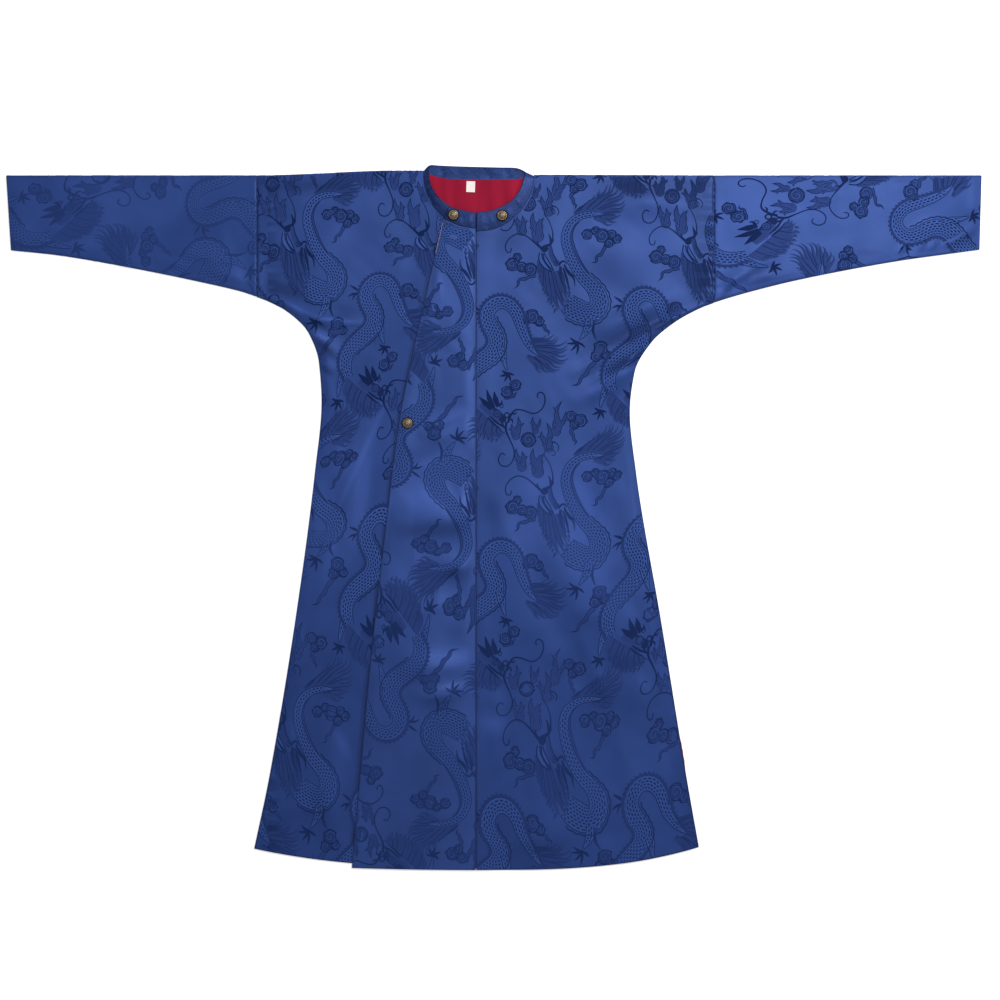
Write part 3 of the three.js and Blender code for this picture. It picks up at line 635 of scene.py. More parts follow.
# %% Build the overlap
COLLAR_OVER = [
    (-61, -82, 5.9, -51, -58.5, 6.9), (-46, -89, 5.8, -38, -62.5, 7.4),
    (-24, -96.8, 5.8, -20, -67, 7.8), (-GAP, -100, 5.8, -GAP, -71, 7.6),
]
OVERLAP_TOP = 83
overlap_neck = curve_through([(row[0], row[1]) for row in COLLAR_OVER])


def overlap_row(down, out):
    rise = 4 * (out / overlap_edge(LENGTH)) ** 2 * hem_share(down)
    lower = smooth((down - OVERLAP_TOP) / (135 - OVERLAP_TOP))
    return mix(overlap_neck(-out) - NECK_TUCK - (down - OVERLAP_TOP), -down + rise, lower)


def overlap_z(x, y, edge_out):
    return np.maximum(overlap_height(x, y, edge_out, -y), OVER_Z - 0.25)


def overlap_panel():
    top = OVERLAP_TOP + np.array([0, 1, 3, 6, 10])
    down = np.concatenate([top, rows_between(98, LENGTH, 6.0, False, True)])[:, None]
    edge_out = overlap_edge(down)
    out = columns_between(GAP, edge_out[:, 0], 24)
    near = np.minimum(1, edge_out / 60)  # the first rows are too narrow for the full edge strips
    even = (edge_out - GAP) * (out - GAP) / np.maximum(edge_out - GAP, 1)
    out = GAP + (out - GAP) * near + even * (1 - near)
    y = overlap_row(down, out)
    middle = together(-out, y, overlap_z(-out, y, edge_out))
    # Painted shade along the overlap's edges, where the cloth is turned in.
    edge = 1 - smooth(np.minimum(np.minimum(edge_out - out, out), LENGTH - down) / 3.2)
    flat = (together(-out, y) + [250, 1310]) / [600, 1350] * [1, 0.98]
    return cloth("cloth_overlap", middle, flat, edge, (0.4, 1, 0.55, 0), inside=0.45)


overlap = overlap_panel()

# %% [markdown]
# ## Sleeves
# Each sleeve is a flattened tube. Its top is a soft fold along the shoulder line and its lower edge is
# the underarm seam. The tube stays open at the cuff and at the seam where it meets the upper sleeve.

# %% Shape of a sleeve
def sleeve_top(half, out):
    return row_y(half, 0, np.minimum(out, half.seam_out))


def sleeve_skew(half, out, y):
    start = half.seam_out + GAP / 2
    share = (out - start) / (half.cuff_out - start)
    return half.cuff_skew * share * np.clip((sleeve_top(half, out) - y) / half.under_at(out), 0, 1)


SLEEVE_CREASES = [
    (930, -66, 872, -92, 7, 1.8), (942, -96, 900, -122, 6, 1.8), (918, -112, 880, -130, 6, 1.6),
    (452, -212, 512, -182, 7, 3.2), (500, -206, 556, -184, 7, 1.8), (806, -126, 792, -148, 4, 1.6),
    (824, -124, 812, -146, 4, -1.2), (840, -122, 832, -142, 4, 1.5), (864, -120, 850, -142, 5, 1.4),
    (600, -30, 760, -36, 22, 0.8), (640, -120, 740, -104, 18, -0.6), (760, -70, 850, -60, 16, 0.8),
    (540, -60, 620, -90, 20, 0.7), (-430, -196, -500, -178, 8, 2.0), (-520, -176, -600, -158, 9, 1.5),
    (-640, -40, -760, -60, 22, 0.8), (-820, -70, -870, -96, 9, 0.9), (-780, -120, -846, -126, 8, 0.9),
    (-560, -60, -640, -100, 18, 0.7),
]


def sleeve_height(half, out, y):
    """Height of the middle of the sleeve's upper face above the middle of the tube."""
    x = half.sign * out
    top, low = sleeve_top(half, out), -half.under_at(out)
    inside = smooth((top - 4 - y) / 14) * smooth((y - low - 4) / 14)
    clear = inside * smooth((out - half.seam_out) / 40) * smooth((half.cuff_out - out) / 26)
    loose = ridges(SLEEVE_FOLDS, x, y) + ridges(SLEEVE_CREASES, x, y) + swell(x, y) + 0.3
    pulled = puckers(out - half.seam_out, y) * inside
    cuff = 0.35 * np.exp(-((half.cuff_out - out - 14) / 5) ** 2) * inside
    return FOLD_R + np.maximum(loose, -0.6) * clear + pulled + cuff


print("a sleeve is", round(float(sleeve_top(LEFT, 500.0) + LEFT.under_at(500.0))), "mm high at the seam")

# %% [markdown]
# The tube is made ring by ring from the seam to the cuff. Each ring runs down the upper face, round
# the underarm, up the lower face and round the top fold. An outer and an inner tube are joined at both
# open ends by a row of points between them, so that the cuff looks turned in.

# %% Build the sleeves
def tube_faces(rings, sides):
    """Faces of a tube whose points come ring by ring."""
    ring, side = np.meshgrid(np.arange(rings - 1) * sides, np.arange(sides), indexing="ij")
    following = (side + 1) % sides
    beyond = ring + sides
    return together(ring + side, ring + following, beyond + following, beyond + side).reshape(-1, 4)


def sleeve_tube(half, step=6.0, flat=36):
    start = half.seam_out + GAP / 2
    out = rows_between(start, half.cuff_out, step, True, True)[:, None]
    top, low = sleeve_top(half, out), -half.under_at(out)
    high, foot = top - FOLD_R - CLOTH / 2, low + FOLD_R + CLOTH / 2
    y_face = mix(high, foot, np.linspace(0, 1, flat))
    bend = np.linspace(0, np.pi, 8)[1:-1]
    sin, cos = np.sin(bend), np.cos(bend)
    stretches = [
        (y_face, sleeve_height(half, out, y_face), 0, 1),
        (foot - FOLD_R * sin, FOLD_R * cos, -sin, cos),
        (y_face[:, ::-1], -FOLD_R, 0, -1),
        (high + FOLD_R * sin, -FOLD_R * cos, sin, -cos),
    ]
    y, z, ny, nz = np.hstack([together(*stretch) for stretch in stretches]).transpose(2, 0, 1)
    middle = together(half.sign * (out - sleeve_skew(half, out, y)), y, BACK_Z + FOLD_R + z)
    normal = together(0, ny, nz)
    rings, sides = y.shape
    outer, inner = middle + normal * FACE, middle - normal * INSIDE
    for side in (outer, inner):
        side[0, :, 0] += half.sign * 0.35
        side[-1, :, 0] -= half.sign * 0.35
    ends = [middle[0] - normal[0] * 0.12, middle[-1] - normal[-1] * 0.12]
    points = np.vstack([outer.reshape(-1, 3), inner.reshape(-1, 3), *ends])
    wall, count, s = tube_faces(rings, sides), rings * sides, np.arange(sides)
    following = (s + 1) % sides
    faces = [wall, wall[:, ::-1] + count]
    for ring, first, flip in ((0, 2 * count, False), (rings - 1, 2 * count + sides, True)):
        row = ring * sides
        near = together(row + following, row + s, first + s, first + following)
        far = together(first + following, first + s, count + row + s, count + row + following)
        faces += [near[:, ::-1], far[:, ::-1]] if flip else [near, far]
    around = np.cumsum(np.linalg.norm(np.diff(middle, axis=1, prepend=middle[:, :1]), axis=2), axis=1)
    flat_map = together((out - start) / 600, around / 560).reshape(-1, 2) + 0.02
    maps = [flat_map, flat_map * [0.9, 0.15] + [0, 0.84], flat_map[:sides], flat_map[count - sides:]]
    # Painted shade: darker at the open ends and along the top fold and the underarm fold.
    edge = 1 - smooth(np.minimum(out - start, half.cuff_out - out) / 3.2)
    fold = np.exp(-((y - top) / 2.6) ** 2) + np.exp(-((y - low) / 2.6) ** 2)
    edge = np.maximum(edge, 0.75 * fold).reshape(-1)
    edge = np.concatenate([edge, edge, np.ones(2 * sides)])
    return new_piece(f"cloth_sleeve_{half.name}", points, np.vstack(faces), np.vstack(maps), edge)


sleeve_left = sleeve_tube(LEFT)
sleeve_right = sleeve_tube(RIGHT)

# %% [markdown]
# ## The standing collar
# The collar is a stiffened band, cut on a curve and folded along its top edge. Laid flat it tips
# outwards all round the neck. Each row of the table is one section: its sewn edge and its top edge.
# A curve through the sewn edges and one through the top edges carry the band between them.

# %% Sections of the collar: sewn edge x, y, z, top edge x, y, z
COLLAR = [
    (GAP, -106, 5.1, GAP, -70, 7.4), (28, -102.5, 4.4, 26, -67, 7.2), (55, -91.5, 3.9, 49, -58.5, 7.0),
    (79, -73, 3.6, 68, -46, 7.0), (97, -48.5, 3.5, 82, -28, 7.0), (106.5, -22, 3.7, 88.5, -10, 6.6),
    (108.6, -7, 3.4, 90.5, -1, 5.4), (108.6, -2, 2.2, 90.5, 5, 3.8), (103, -4.2, 1.1, 86.5, 9.5, 2.2),
    (88, -7.5, 0.9, 76, 13.5, 1.7), (50, -10, 0.9, 46, 14.5, 2.2), (0, -10, 0.9, 0, 15.5, 2.6),
    (-45, -9, 0.9, -44, 17, 2.0), (-74, -4, 0.9, -72, 18.4, 1.7), (-93, 2.5, 1.1, -84, 19, 2.2),
    (-98.6, 6.5, 2.2, -88.5, 17, 3.8), (-99, 1, 3.2, -88.5, 8, 5.2), (-97.5, -16, 3.7, -86, -12, 6.4),
    (-88, -44, 3.7, -75, -35, 6.6), (-72, -68, 3.7, -59, -51, 5.4), (-55, -82, 3.7, -43, -61, 4.4),
    (-36, -92, 3.7, -29, -66, 4.4),
]


def run_along(line):
    """How far along a line each of its points lies."""
    return np.concatenate([[0], np.cumsum(np.linalg.norm(np.diff(line, axis=0), axis=1))])


def curve_in_space(points, between):
    """A centripetal Catmull-Rom curve, with as many steps between each two of its points."""
    p = np.array(points, float)
    p = np.vstack([2 * p[0] - p[1], p, 2 * p[-1] - p[-2]])
    found = []
    for i in range(1, len(p) - 2):
        q = p[i - 1:i + 3]
        knots = np.concatenate([[0], np.cumsum(np.sqrt(np.linalg.norm(np.diff(q, axis=0), axis=1)))])
        for t in np.linspace(knots[1], knots[2], between, endpoint=False):
            a = [mix(q[k], q[k + 1], (t - knots[k]) / (knots[k + 1] - knots[k])) for k in range(3)]
            b = [mix(a[k], a[k + 1], (t - knots[k]) / (knots[k + 2] - knots[k])) for k in range(2)]
            found.append(mix(b[0], b[1], (t - knots[1]) / (knots[2] - knots[1])))
    return np.array(found + [p[-2]])


print("the collar's seam is", round(float(run_along(np.array(COLLAR)[:, :3])[-1]) / 10), "cm long")

# %% [markdown]
# Small puckers run across the band from its seam. Painted shade darkens its flanks, its ends where it turns
# over, and the place where the overlap's end lies on it.

# %% Build the collar and its overlapping stretch
COLLAR_PUCKERS = [
    (10, -100, 14, -78, 3.0, 0.9), (20, -101, 22, -82, 2.6, -0.7), (31, -99, 30, -80, 3.2, 0.9),
    (44, -94, 38, -74, 3.0, 0.8), (66, -80, 58, -62, 3.4, 0.9), (86, -60, 76, -46, 3.4, 0.8),
    (-14, -96, -10, -76, 3.2, 0.9), (-27, -94, -22, -74, 2.8, -0.6), (-54, -82, -48, -66, 3.2, 0.8),
    (-92, -36, -82, -30, 4.0, 0.9), (-84, -50, -72, -42, 4.0, 0.8), (-30, -8, -30, 12, 6.0, 0.8),
    (20, -9, 22, 12, 6.0, 0.8), (60, -9, 56, 12, 5.0, 0.7), (-64, -6, -62, 14, 5.0, 0.7),
]
# Painted shade on the collar, as strokes: two ends, a half width and strength.
COLLAR_PAINTED_SHADE = [
    (-66, -86, -54, -56, 6, 1.2), (-94, -30, -76, -60, 12, 0.7), (100, -26, 76, -62, 9, 0.5),
    (26, -98, 60, -82, 6, 0.3), (-92, 3, -84, 16, 5, 0.6), (92, -5, 82, 10, 5, 0.5),
]


def collar_piece(name, table, painted_shade, between=9, across=12):
    rows = np.array(table, float)
    seam, top = curve_in_space(rows[:, :3], between), curve_in_space(rows[:, 3:], between)
    share = np.concatenate([[0, 0.03, 0.08], np.linspace(0.14, 0.86, across - 6), [0.92, 0.97, 1]])
    middle = mix(seam[:, None], top[:, None], share[None, :, None])
    normal = np.cross(np.gradient(middle, axis=0), np.broadcast_to((top - seam)[:, None], middle.shape))
    normal /= np.linalg.norm(normal, axis=2, keepdims=True)
    arch = np.sin(np.pi * share)
    bulge = 0.35 * arch ** 0.7 + ridges(COLLAR_PUCKERS, middle[..., 0], middle[..., 1]) * arch
    middle = middle + normal * bulge[..., None]
    if normal[..., 2].mean() < 0:
        normal = -normal
    lengths = run_along((seam + top) / 2)
    flat = together(lengths[:, None] / lengths[-1], share) * [0.96, 0.4] + [0.02, 0.03]
    ends = np.minimum(lengths, lengths[-1] - lengths)[:, None]
    height = np.linalg.norm(top - seam, axis=1)[:, None]
    near = np.minimum(np.minimum(ends, share * height), (1 - share) * height)
    # Painted shade along the band's edges, and from the table at its ends and flanks.
    edge = 1 - smooth(near / 3.4)
    edge = np.clip(edge + ridges(painted_shade, middle[..., 0], middle[..., 1]), 0, 1)
    thick = {"face": 0.55, "inside": 0.7, "round_it": 0.55}
    return cloth(name, middle, flat, edge, (1, 1, 0, 0.5), normal=normal, **thick)


collar = collar_piece("cloth_collar", COLLAR, COLLAR_PAINTED_SHADE)
collar_over = collar_piece("cloth_collar_overlap", COLLAR_OVER, [])

# %% [markdown]
# ## The lining
# The robe is lined in crimson. Only two bits of the lining show: the sheet inside the neck, and a
# sliver that peeps out of the open vent at the wearer's left side. The sheet at the neck lies slack,
# so it gets a few shallow upright waves.

# %% Build the two bits of lining
back_seam = curve_through(sorted((row[0], row[1]) for row in COLLAR if row[2] < 3))
LINING_FOLDS = [
    (-52, -20, -60, -110, 7, 0.16), (-4, -16, 2, -120, 9, 0.14), (44, -20, 52, -110, 7, 0.16),
    (68, -18, 70, -100, 4, 0.18), (-80, -16, -84, -90, 5, 0.16), (22, -30, 26, -110, 6, -0.14),
]


def neck_lining(half_width=140, foot=150):
    x = np.linspace(-half_width, half_width, 121)[None, :]
    top = np.minimum(back_seam(x) + 1.4, 3 - 17 * smooth((abs(x) - 86) / 16))
    t = np.concatenate([[0, 0.004, 0.012], np.linspace(0.03, 1, 34)])[:, None]
    y = mix(top, -foot + 30 * (x / half_width) ** 2, t)
    middle = together(x, y, LINING_Z + ridges(LINING_FOLDS, x, y))
    flat = together(x + 150, y + 160) / [640, 180]
    return cloth("lining_at_neck", middle, flat, face=0.28, inside=0.4, round_it=0.2)


def vent_lining():
    t = np.linspace(0, 1, 40)[:, None]
    across = np.linspace(0, 1, 6)[None, :]
    down = mix(1052, 1146, t)
    edge = body_out(LEFT, down)
    bulge = 1.5 * smooth(3 * (0.5 - abs(t - 0.5))) * (1 + 0.15 * np.sin(31 * t))
    x = mix(edge - 12, edge + bulge - GAP, across)
    middle = together(x, row_y(LEFT, down, edge), LINING_Z)
    flat = together(across * 0.4, t) * 0.96 + 0.02
    return cloth("lining_at_vent", middle, flat, face=0.35, inside=0.35, round_it=0.3)


lining_neck = neck_lining()
lining_vent = vent_lining()

# %% [markdown]
# ## Seam allowances
# Inside the robe the cloth goes on a little past each seam, pressed flat to both sides. These narrow
# strips lie just under the centre-front seam and the two sleeve seams. They hold the pieces together
# to the eye, so that no light comes through a seam.

# %% Build the seam allowances
def allowance(name, line, half_width, sink):
    """A flat strip under a seam. The line gives x, y and z in the middle of the cloth above it."""
    along = np.gradient(line[:, :2], axis=0)
    along /= np.linalg.norm(along, axis=1, keepdims=True)
    side = together(-along[:, 1], along[:, 0], 0)
    share = np.array([-1, -0.8, 0, 0.8, 1])
    middle = line[:, None] + side[:, None] * (share * half_width)[None, :, None] - sink * UP
    lengths = run_along(line)
    flat = together(lengths[:, None] / lengths[-1], share * 0.2 + 0.25) * 0.96 + 0.02
    return cloth(name, middle, flat, under=(1, 1, 0, 0.5), face=0.16, inside=0.16, round_it=0.1)


def sleeve_seam_line(half):
    """Just under the upper face, from the shoulder fold down to the underarm."""
    y = np.linspace(sleeve_top(half, half.seam_out) - 5, 5 - half.seam_drop, 60)
    inner = front_height(half, down_at(half, half.seam_out - 3.0, y), half.seam_out - 3.0, y)
    outer = BACK_Z + FOLD_R + sleeve_height(half, half.seam_out + 3.0, y)
    return together(half.sign * half.seam_out, y, np.minimum(inner, outer))


front_line = together(0, -np.linspace(108, LENGTH - 3, 150), OVER_Z)
front_allowance = allowance("seam_allowance_front", front_line, 6.0, 0.66)
sleeve_allowances = [
    allowance(f"seam_allowance_{half.name}", sleeve_seam_line(half), 3.5, 0.85) for half in (LEFT, RIGHT)]

# %% [markdown]
# ## The label
# A plain woven tape, its two ends folded under, is stitched to the lining at the back of the neck. It
# carries no words. Like most labels it isn't sewn on quite straight.

# %% Build the label
LABEL_PLACE = SimpleNamespace(x=-10.0, y=-21.7, width=16.4, height=20.4, turn=math.radians(-2.0))
LABEL_Z = LINING_Z + LINING / 2 + GAP


def on_label(across, up):
    """A point of the label, with both shares running from 0 to 1, turned about its own middle."""
    dx = (across - 0.5) * LABEL_PLACE.width
    dy = (up - 0.5) * LABEL_PLACE.height
    sin, cos = math.sin(LABEL_PLACE.turn), math.cos(LABEL_PLACE.turn)
    return LABEL_PLACE.x + dx * cos - dy * sin, LABEL_PLACE.y + dx * sin + dy * cos


def neck_label():
    across = np.concatenate([[0, 0.03, 0.07], np.linspace(0.12, 0.88, 13), [0.93, 0.97, 1]])[None, :]
    up = np.concatenate([[0, 0.02, 0.05, 0.09], np.linspace(0.14, 0.86, 15), [0.91, 0.95, 0.98, 1]])
    up = up[:, None]
    x, y = on_label(across, up)
    from_end = np.minimum(up, 1 - up)
    folded = smooth((0.1 - from_end) / 0.03) * 0.10
    pinch = -0.10 * np.exp(-((from_end - 0.07) / 0.02) ** 2)
    wave = 0.10 * np.sin(np.pi * up) * np.sin(2.4 * np.pi * across + 0.6)
    middle = together(x, y, LABEL_Z + 0.25 + folded + pinch + wave)
    flat = together(across * 0.46, up) * 0.96 + 0.02
    return cloth("label_at_neck", middle, flat, face=0.14, inside=0.3, round_it=0.1)


label = neck_label()

# %% [markdown]
# ## Metal ball buttons
# The three buttons are stamped from brass sheet: a shank, a rolled rim and a dome with a worn relief.
# A lathe profile, turned in 64 steps, gives the round form. The relief is a plain swirl of six petals
# that is pressed into the dome as it is turned.

# %% Turn the three buttons: solid, x, y, z and a turn about their own middle
BUTTONS = [
    ("button_collar_right", -42, -75, 8.0, 0.3), ("button_collar_left", 49, -76, 7.0, 1.1),
    ("button_chest", -128, -464, 5.8, 2.0),
]
PROFILE = [
    (0.6, 0.0), (2.2, 0.1), (2.3, 1.4), (7.4, 1.5), (8.3, 1.7), (8.7, 2.1), (8.75, 2.6), (8.5, 3.0),
    (8.05, 3.15), (7.6, 3.05), (7.3, 2.95), (7.0, 3.1), (6.8, 3.5),
]


def dome_height(radius):
    return 3.0 + 4.7 * np.sqrt(np.clip(1 - (radius / 7.6) ** 2, 0, 1))


def petals(radius, angle):
    swirl = np.sin(6 * angle + 0.55 * radius) * np.exp(-((radius - 4.1) / 1.7) ** 2)
    ring = np.exp(-((radius - 1.9) / 0.45) ** 2)
    heart = np.sin(3 * angle) * np.exp(-((radius - 0.9) / 0.7) ** 2) * 0.5
    return 0.30 * swirl + 0.22 * ring + 0.2 * heart


def turned_button(solid, x, y, z, turn, sides=64):
    angle = np.linspace(0, 2 * np.pi, sides, endpoint=False) + turn
    sections = PROFILE + [(r, dome_height(r) + petals(r, angle)) for r in np.linspace(6.6, 0.25, 26)]
    points = [together(r * np.cos(angle), r * np.sin(angle), h) for r, h in sections]
    points = np.vstack(points + [[[0, 0, 0]], [[0, 0, dome_height(0.0)]]]) + [x, y, z + 0.05]
    count = len(sections) * sides
    pairs = [(side, (side + 1) % sides) for side in range(sides)]
    bottom = [(b, count, a) for a, b in pairs]
    top = [(count - sides + a, count - sides + b, count + 1) for a, b in pairs]
    name = solid.replace("button", "ball_button")
    return linked(name, mesh_of(name, points, tube_faces(len(sections), sides).tolist() + bottom + top))


buttons = [turned_button(*row) for row in BUTTONS]
print([b.name for b in buttons])

# %% [markdown]
# ## The woven figure
# Damask shows its pattern because the figure is woven the other way round from the ground, so it is
# matt where the ground shines. The figure here is a traditional one: two dragons that play with a
# flaming pearl among curling clouds, repeated over the whole cloth. It is drawn with a few kinds of
# brush stroke. Each stroke becomes a very thin slab that rides on the cloth, as the woven floats do.
# A stroke also carries its own map: how far along it is, how far off its middle and how wide it is.
# The finish uses that map to weave scales, outlines and single hairs into it.

# %% Brush strokes
PLAIN, SCALED, EDGED, HAIR, CURL, PALE = range(6)


def flowing(points, count):
    """A smooth line through a few points, cut into steps of equal length."""
    line = curve_in_space(points, 8)
    lengths = run_along(line)
    at = np.linspace(0, lengths[-1], count)
    return together(*(np.interp(at, lengths, part) for part in line.T))


def shares(values, count):
    """Values at equal shares of a length, filled in to a number of steps."""
    return np.interp(np.linspace(0, 1, count), np.linspace(0, 1, len(values)), values)


def direction(line):
    along = np.gradient(line, axis=0)
    return along / np.maximum(np.linalg.norm(along, axis=1, keepdims=True), 1e-9)


def sideways(line):
    along = direction(line)
    return together(-along[:, 1], along[:, 0])


def stroke_on(line, half_width, kind, lift, across=2, tone=1.0):
    """A band on both sides of a line. Its half width is one number or one for each point."""
    half = np.broadcast_to(half_width, len(line)).astype(float)[:, None]
    share = np.linspace(-1, 1, across)
    off = share * half
    grid = line[:, None] + (sideways(line) * half)[:, None] * share[None, :, None]
    flat = together(run_along(line)[:, None], off)
    own_map = together(flat[..., 0], off, kind) if kind else np.zeros((*off.shape, 3))
    tone = np.broadcast_to(half if kind else tone, off.shape)
    return SimpleNamespace(grid=grid, tone=tone, lift=lift, flat=flat, own_map=own_map)


def brush(points, width, lift=0.33, start=0.5, end=0.12, count=8, tone=1.0, belly=1.0):
    """A plain stroke that starts at one share of its width, swells and ends at another."""
    t = np.linspace(0, 1, count)
    swollen = np.sin(np.pi * t ** 0.8) * (belly - (start + end) / 2)
    half = width / 2 * np.clip(mix(start, end, t) + np.maximum(swollen, 0), 0.1, None)
    return stroke_on(flowing(points, count), half, PLAIN, lift, tone=tone)


def band(points, halves, kind=EDGED, count=10, lift=0.28, across=2, wave=0.0, waves=2.0, phase=0.0):
    """A mapped stroke through some points, with its half widths at equal shares of its length."""
    line = flowing(points, count)
    t = np.linspace(0, 1, count)
    line = line + sideways(line) * (wave * t * np.sin(2 * np.pi * (waves * t + phase)))[:, None]
    return stroke_on(line, shares(halves, count), kind, lift, across)


def ring(x, y, radius, width, count, lift):
    angle = np.linspace(0, 2 * np.pi, count)
    line = together(x + radius * np.cos(angle), y + radius * np.sin(angle))
    return stroke_on(line, width / 2, PLAIN, lift)


def disc(x, y, radius, tone, count, lift, kind=PLAIN, lobes=0.0):
    height = np.linspace(-0.97, 0.97, count)
    scallop = 1 + lobes * np.cos(6 * np.arcsin(height) + 0.9 * x)
    half = radius * np.sqrt(1 - height ** 2) * scallop
    return stroke_on(together(x, y + radius * height), half, kind, lift, tone=tone)


print("a brush stroke has", len(brush([(0, 0), (10, 4), (20, 0)], 3).grid), "steps")

# %% [markdown]
# A dragon is made of a few repeated parts. Its body is a band of scales. A saw-toothed crest or a
# smooth dark fin runs along its back and a wavy line along its belly. Hair streams from tail and mane
# as tapering strands, and each foot spreads five long claws.

# %% Parts of a dragon
def saw_teeth(line, back, count):
    edge = flowing(line, count)
    away, along = sideways(edge) * back, direction(edge)
    reach = np.where(np.arange(count) % 2 == 0, 2.2, 6.4)[:, None]
    strip = stroke_on(edge, 3.8, PLAIN, 0.34, tone=0.5)
    strip.grid = np.stack([edge - away * 1.2, edge + away * reach + along * (reach - 2.2) * 0.7], axis=1)
    return strip


def scaly_body(points, halves, count, back, frill, fin=None):
    """Frill and fin run between two shares of the length. Without a fin the back gets a crest."""
    line = flowing(np.array(points, float), count)
    t = np.linspace(0, 1, count)
    half, side = shares(halves, count), sideways(line)
    parts = [stroke_on(line, half, SCALED, 0.26, 5)]
    if fin:
        kept = (t >= fin[0]) & (t <= fin[1])
        ridge = flowing((line + side * ((half + 1.5) * back)[:, None])[kept], 30)
        swollen = np.sin(np.pi * np.linspace(0.03, 0.97, 30)) ** 0.5
        parts.append(stroke_on(ridge, 3.8 * swollen, EDGED, 0.31))
    else:
        teeth = int(run_along(line)[-1] / 3.4)
        parts.append(saw_teeth(line + side * (half * back)[:, None], back, teeth))
    kept = (t >= frill[0]) & (t <= frill[1])
    wavy = flowing((line + side * (half + 3.6)[:, None])[kept], 44)
    wave = (0.9 * np.sin(np.arange(44) * 1.7))[:, None]
    parts.append(stroke_on(wavy + sideways(wavy) * wave, 1.05, PLAIN, 0.36, tone=0.95))
    return parts


print("a crest of 20 teeth has", len(saw_teeth(flowing([(0, 0), (68, 0)], 20), 1, 20).grid), "steps")

# %% [markdown]
# Hair is drawn strand by strand, from a line where it grows to a line where it ends. The strands differ
# a little in length, lift and wave, or they would look like a comb. A toe is one brush stroke.

# %% Hair, claws and whiskers
def streaming_hair(roots, bends, tips, count, width, steps, wave, hook=0.0):
    """Strands from a line of roots to a line of tips, by way of a line of bends."""
    parts = []
    halves = width / 2 * np.array([0.9, 1.15, 1.1, 0.9, 0.55, 0.1])
    for i, (root, bend, tip) in enumerate(zip(*(flowing(rows, count) for rows in (roots, bends, tips)))):
        tip = bend + (tip - bend) * (0.82 + 0.24 * (i * 5 % 7) / 6)
        reach = tip - bend
        turned = tip + hook * np.array([-reach[1], reach[0]])
        line = [root, bend, bend + 0.7 * reach, turned]
        parts.append(band(line, halves, HAIR, steps, 0.22 + 0.011 * (i * 3 % 8), 2, wave, 1.2, 0.37 * i))
    return parts


def tufts(points, count, reach, lean_x, lean_y):
    """Short pointed locks along the rim of a mane, with their own direction."""
    parts = []
    for i, (x, y) in enumerate(flowing(points, count)):
        dx, dy = (lean * reach * (0.75 + 0.25 * math.sin(2.2 * i)) for lean in (lean_x, lean_y))
        lock = [(x, y), (x + dx * 0.5 + 1.2, y + dy * 0.5 - 0.4), (x + dx, y + dy)]
        parts.append(band(lock, [2.6, 2.2, 1.3, 0.2], HAIR, 5, 0.31))
    return parts


def clawed_foot(x, y, toes):
    """Toes are angles in degrees and lengths."""
    parts = [disc(x, y, 3.2, 1.0, 5, 0.35)]
    for degrees, reach in toes:
        angle = math.radians(degrees)
        middle = (x + reach * 0.5 * math.cos(angle + 0.14), y + reach * 0.5 * math.sin(angle + 0.14))
        tip = (x + reach * math.cos(angle), y + reach * math.sin(angle))
        parts.append(brush([(x, y), middle, tip], 4.2, 0.34, 0.5, 0.25, 6, belly=1.05))
    return parts


def whisker(points, width, count):
    t = np.linspace(0, 1, count)
    half = width / 2 * (1.25 - 0.65 * smooth(t * 3)) * np.where(t > 0.97, 0.6, 1)
    return stroke_on(flowing(points, count), half, PLAIN, 0.35)


def leg(points, halves):
    return band(points, halves, SCALED, 9, 0.32, 3)


print("a foot has", len(clawed_foot(0, 0, [(0, 9), (90, 9)])), "strokes")

# %% [markdown]
# The first dragon rises from its coil with its head thrown back and its tail fanned out at the top. The
# numbers are millimetres from the middle of its head, to the right and upwards.

# %% The rising dragon
def rising_face():
    """Two pale jaw lines and a brow run down from the snout at the top."""
    return [
        band([(-11, 14), (-11, 2), (-3, -11), (11, -23)], [3, 5.2, 4.4, 0.8], PALE, 9, 0.37),
        band([(-5, 13), (-2, 2), (6, -10), (14, -21)], [2, 4.2, 3.6, 0.8], PALE, 9, 0.38),
        band([(6, 26), (9, 10), (15, -2), (21, -10)], [3.6, 4.6, 5.4, 3.4], HAIR, 9, 0.40, 2, 0.3),
        disc(-4, 21, 6.6, 1.0, 7, 0.41),
        brush([(-17, 36), (-16, 29), (-9, 23)], 3.4, 0.38, 0.3, 0.6, 7),
        brush([(-6, 25), (2, 27), (8, 30), (7, 41), (4, 49)], 5.6, 0.39, 0.7, 0.2, 9),
        brush([(8, 30), (12, 36), (11, 45)], 3.0),
        ring(19, -6, 5.0, 1.3, 11, 0.42),
        disc(19, -6, 1.6, 1.0, 4, 0.42),
        brush([(24, -10), (27, -4), (33, -2), (38, -8)], 3.6, 0.41, 0.5, 0.3),
        brush([(26, -12), (27, -34), (34, -54)], 5.4, 0.33, 0.9, 0.1, tone=0.85),
        brush([(33, -8), (41, -24), (51, -34), (53, -50)], 4.6),
        brush([(31, -14), (38, -36), (43, -60)], 4.2),
        brush([(38, -16), (46, -26), (56, -32)], 3.0),
        whisker([(-8, 20), (-20, 31), (-40, 46), (-54, 49), (-69, 41), (-77, 27), (-74, 15), (-67, 15),
                 (-66, 23)], 3.3, 26),
        whisker([(10, 34), (12, 46), (9, 62), (3, 76), (-4, 86), (-2, 95), (8, 98), (16, 92), (14, 85),
                 (9, 88)], 2.2, 26),
    ]


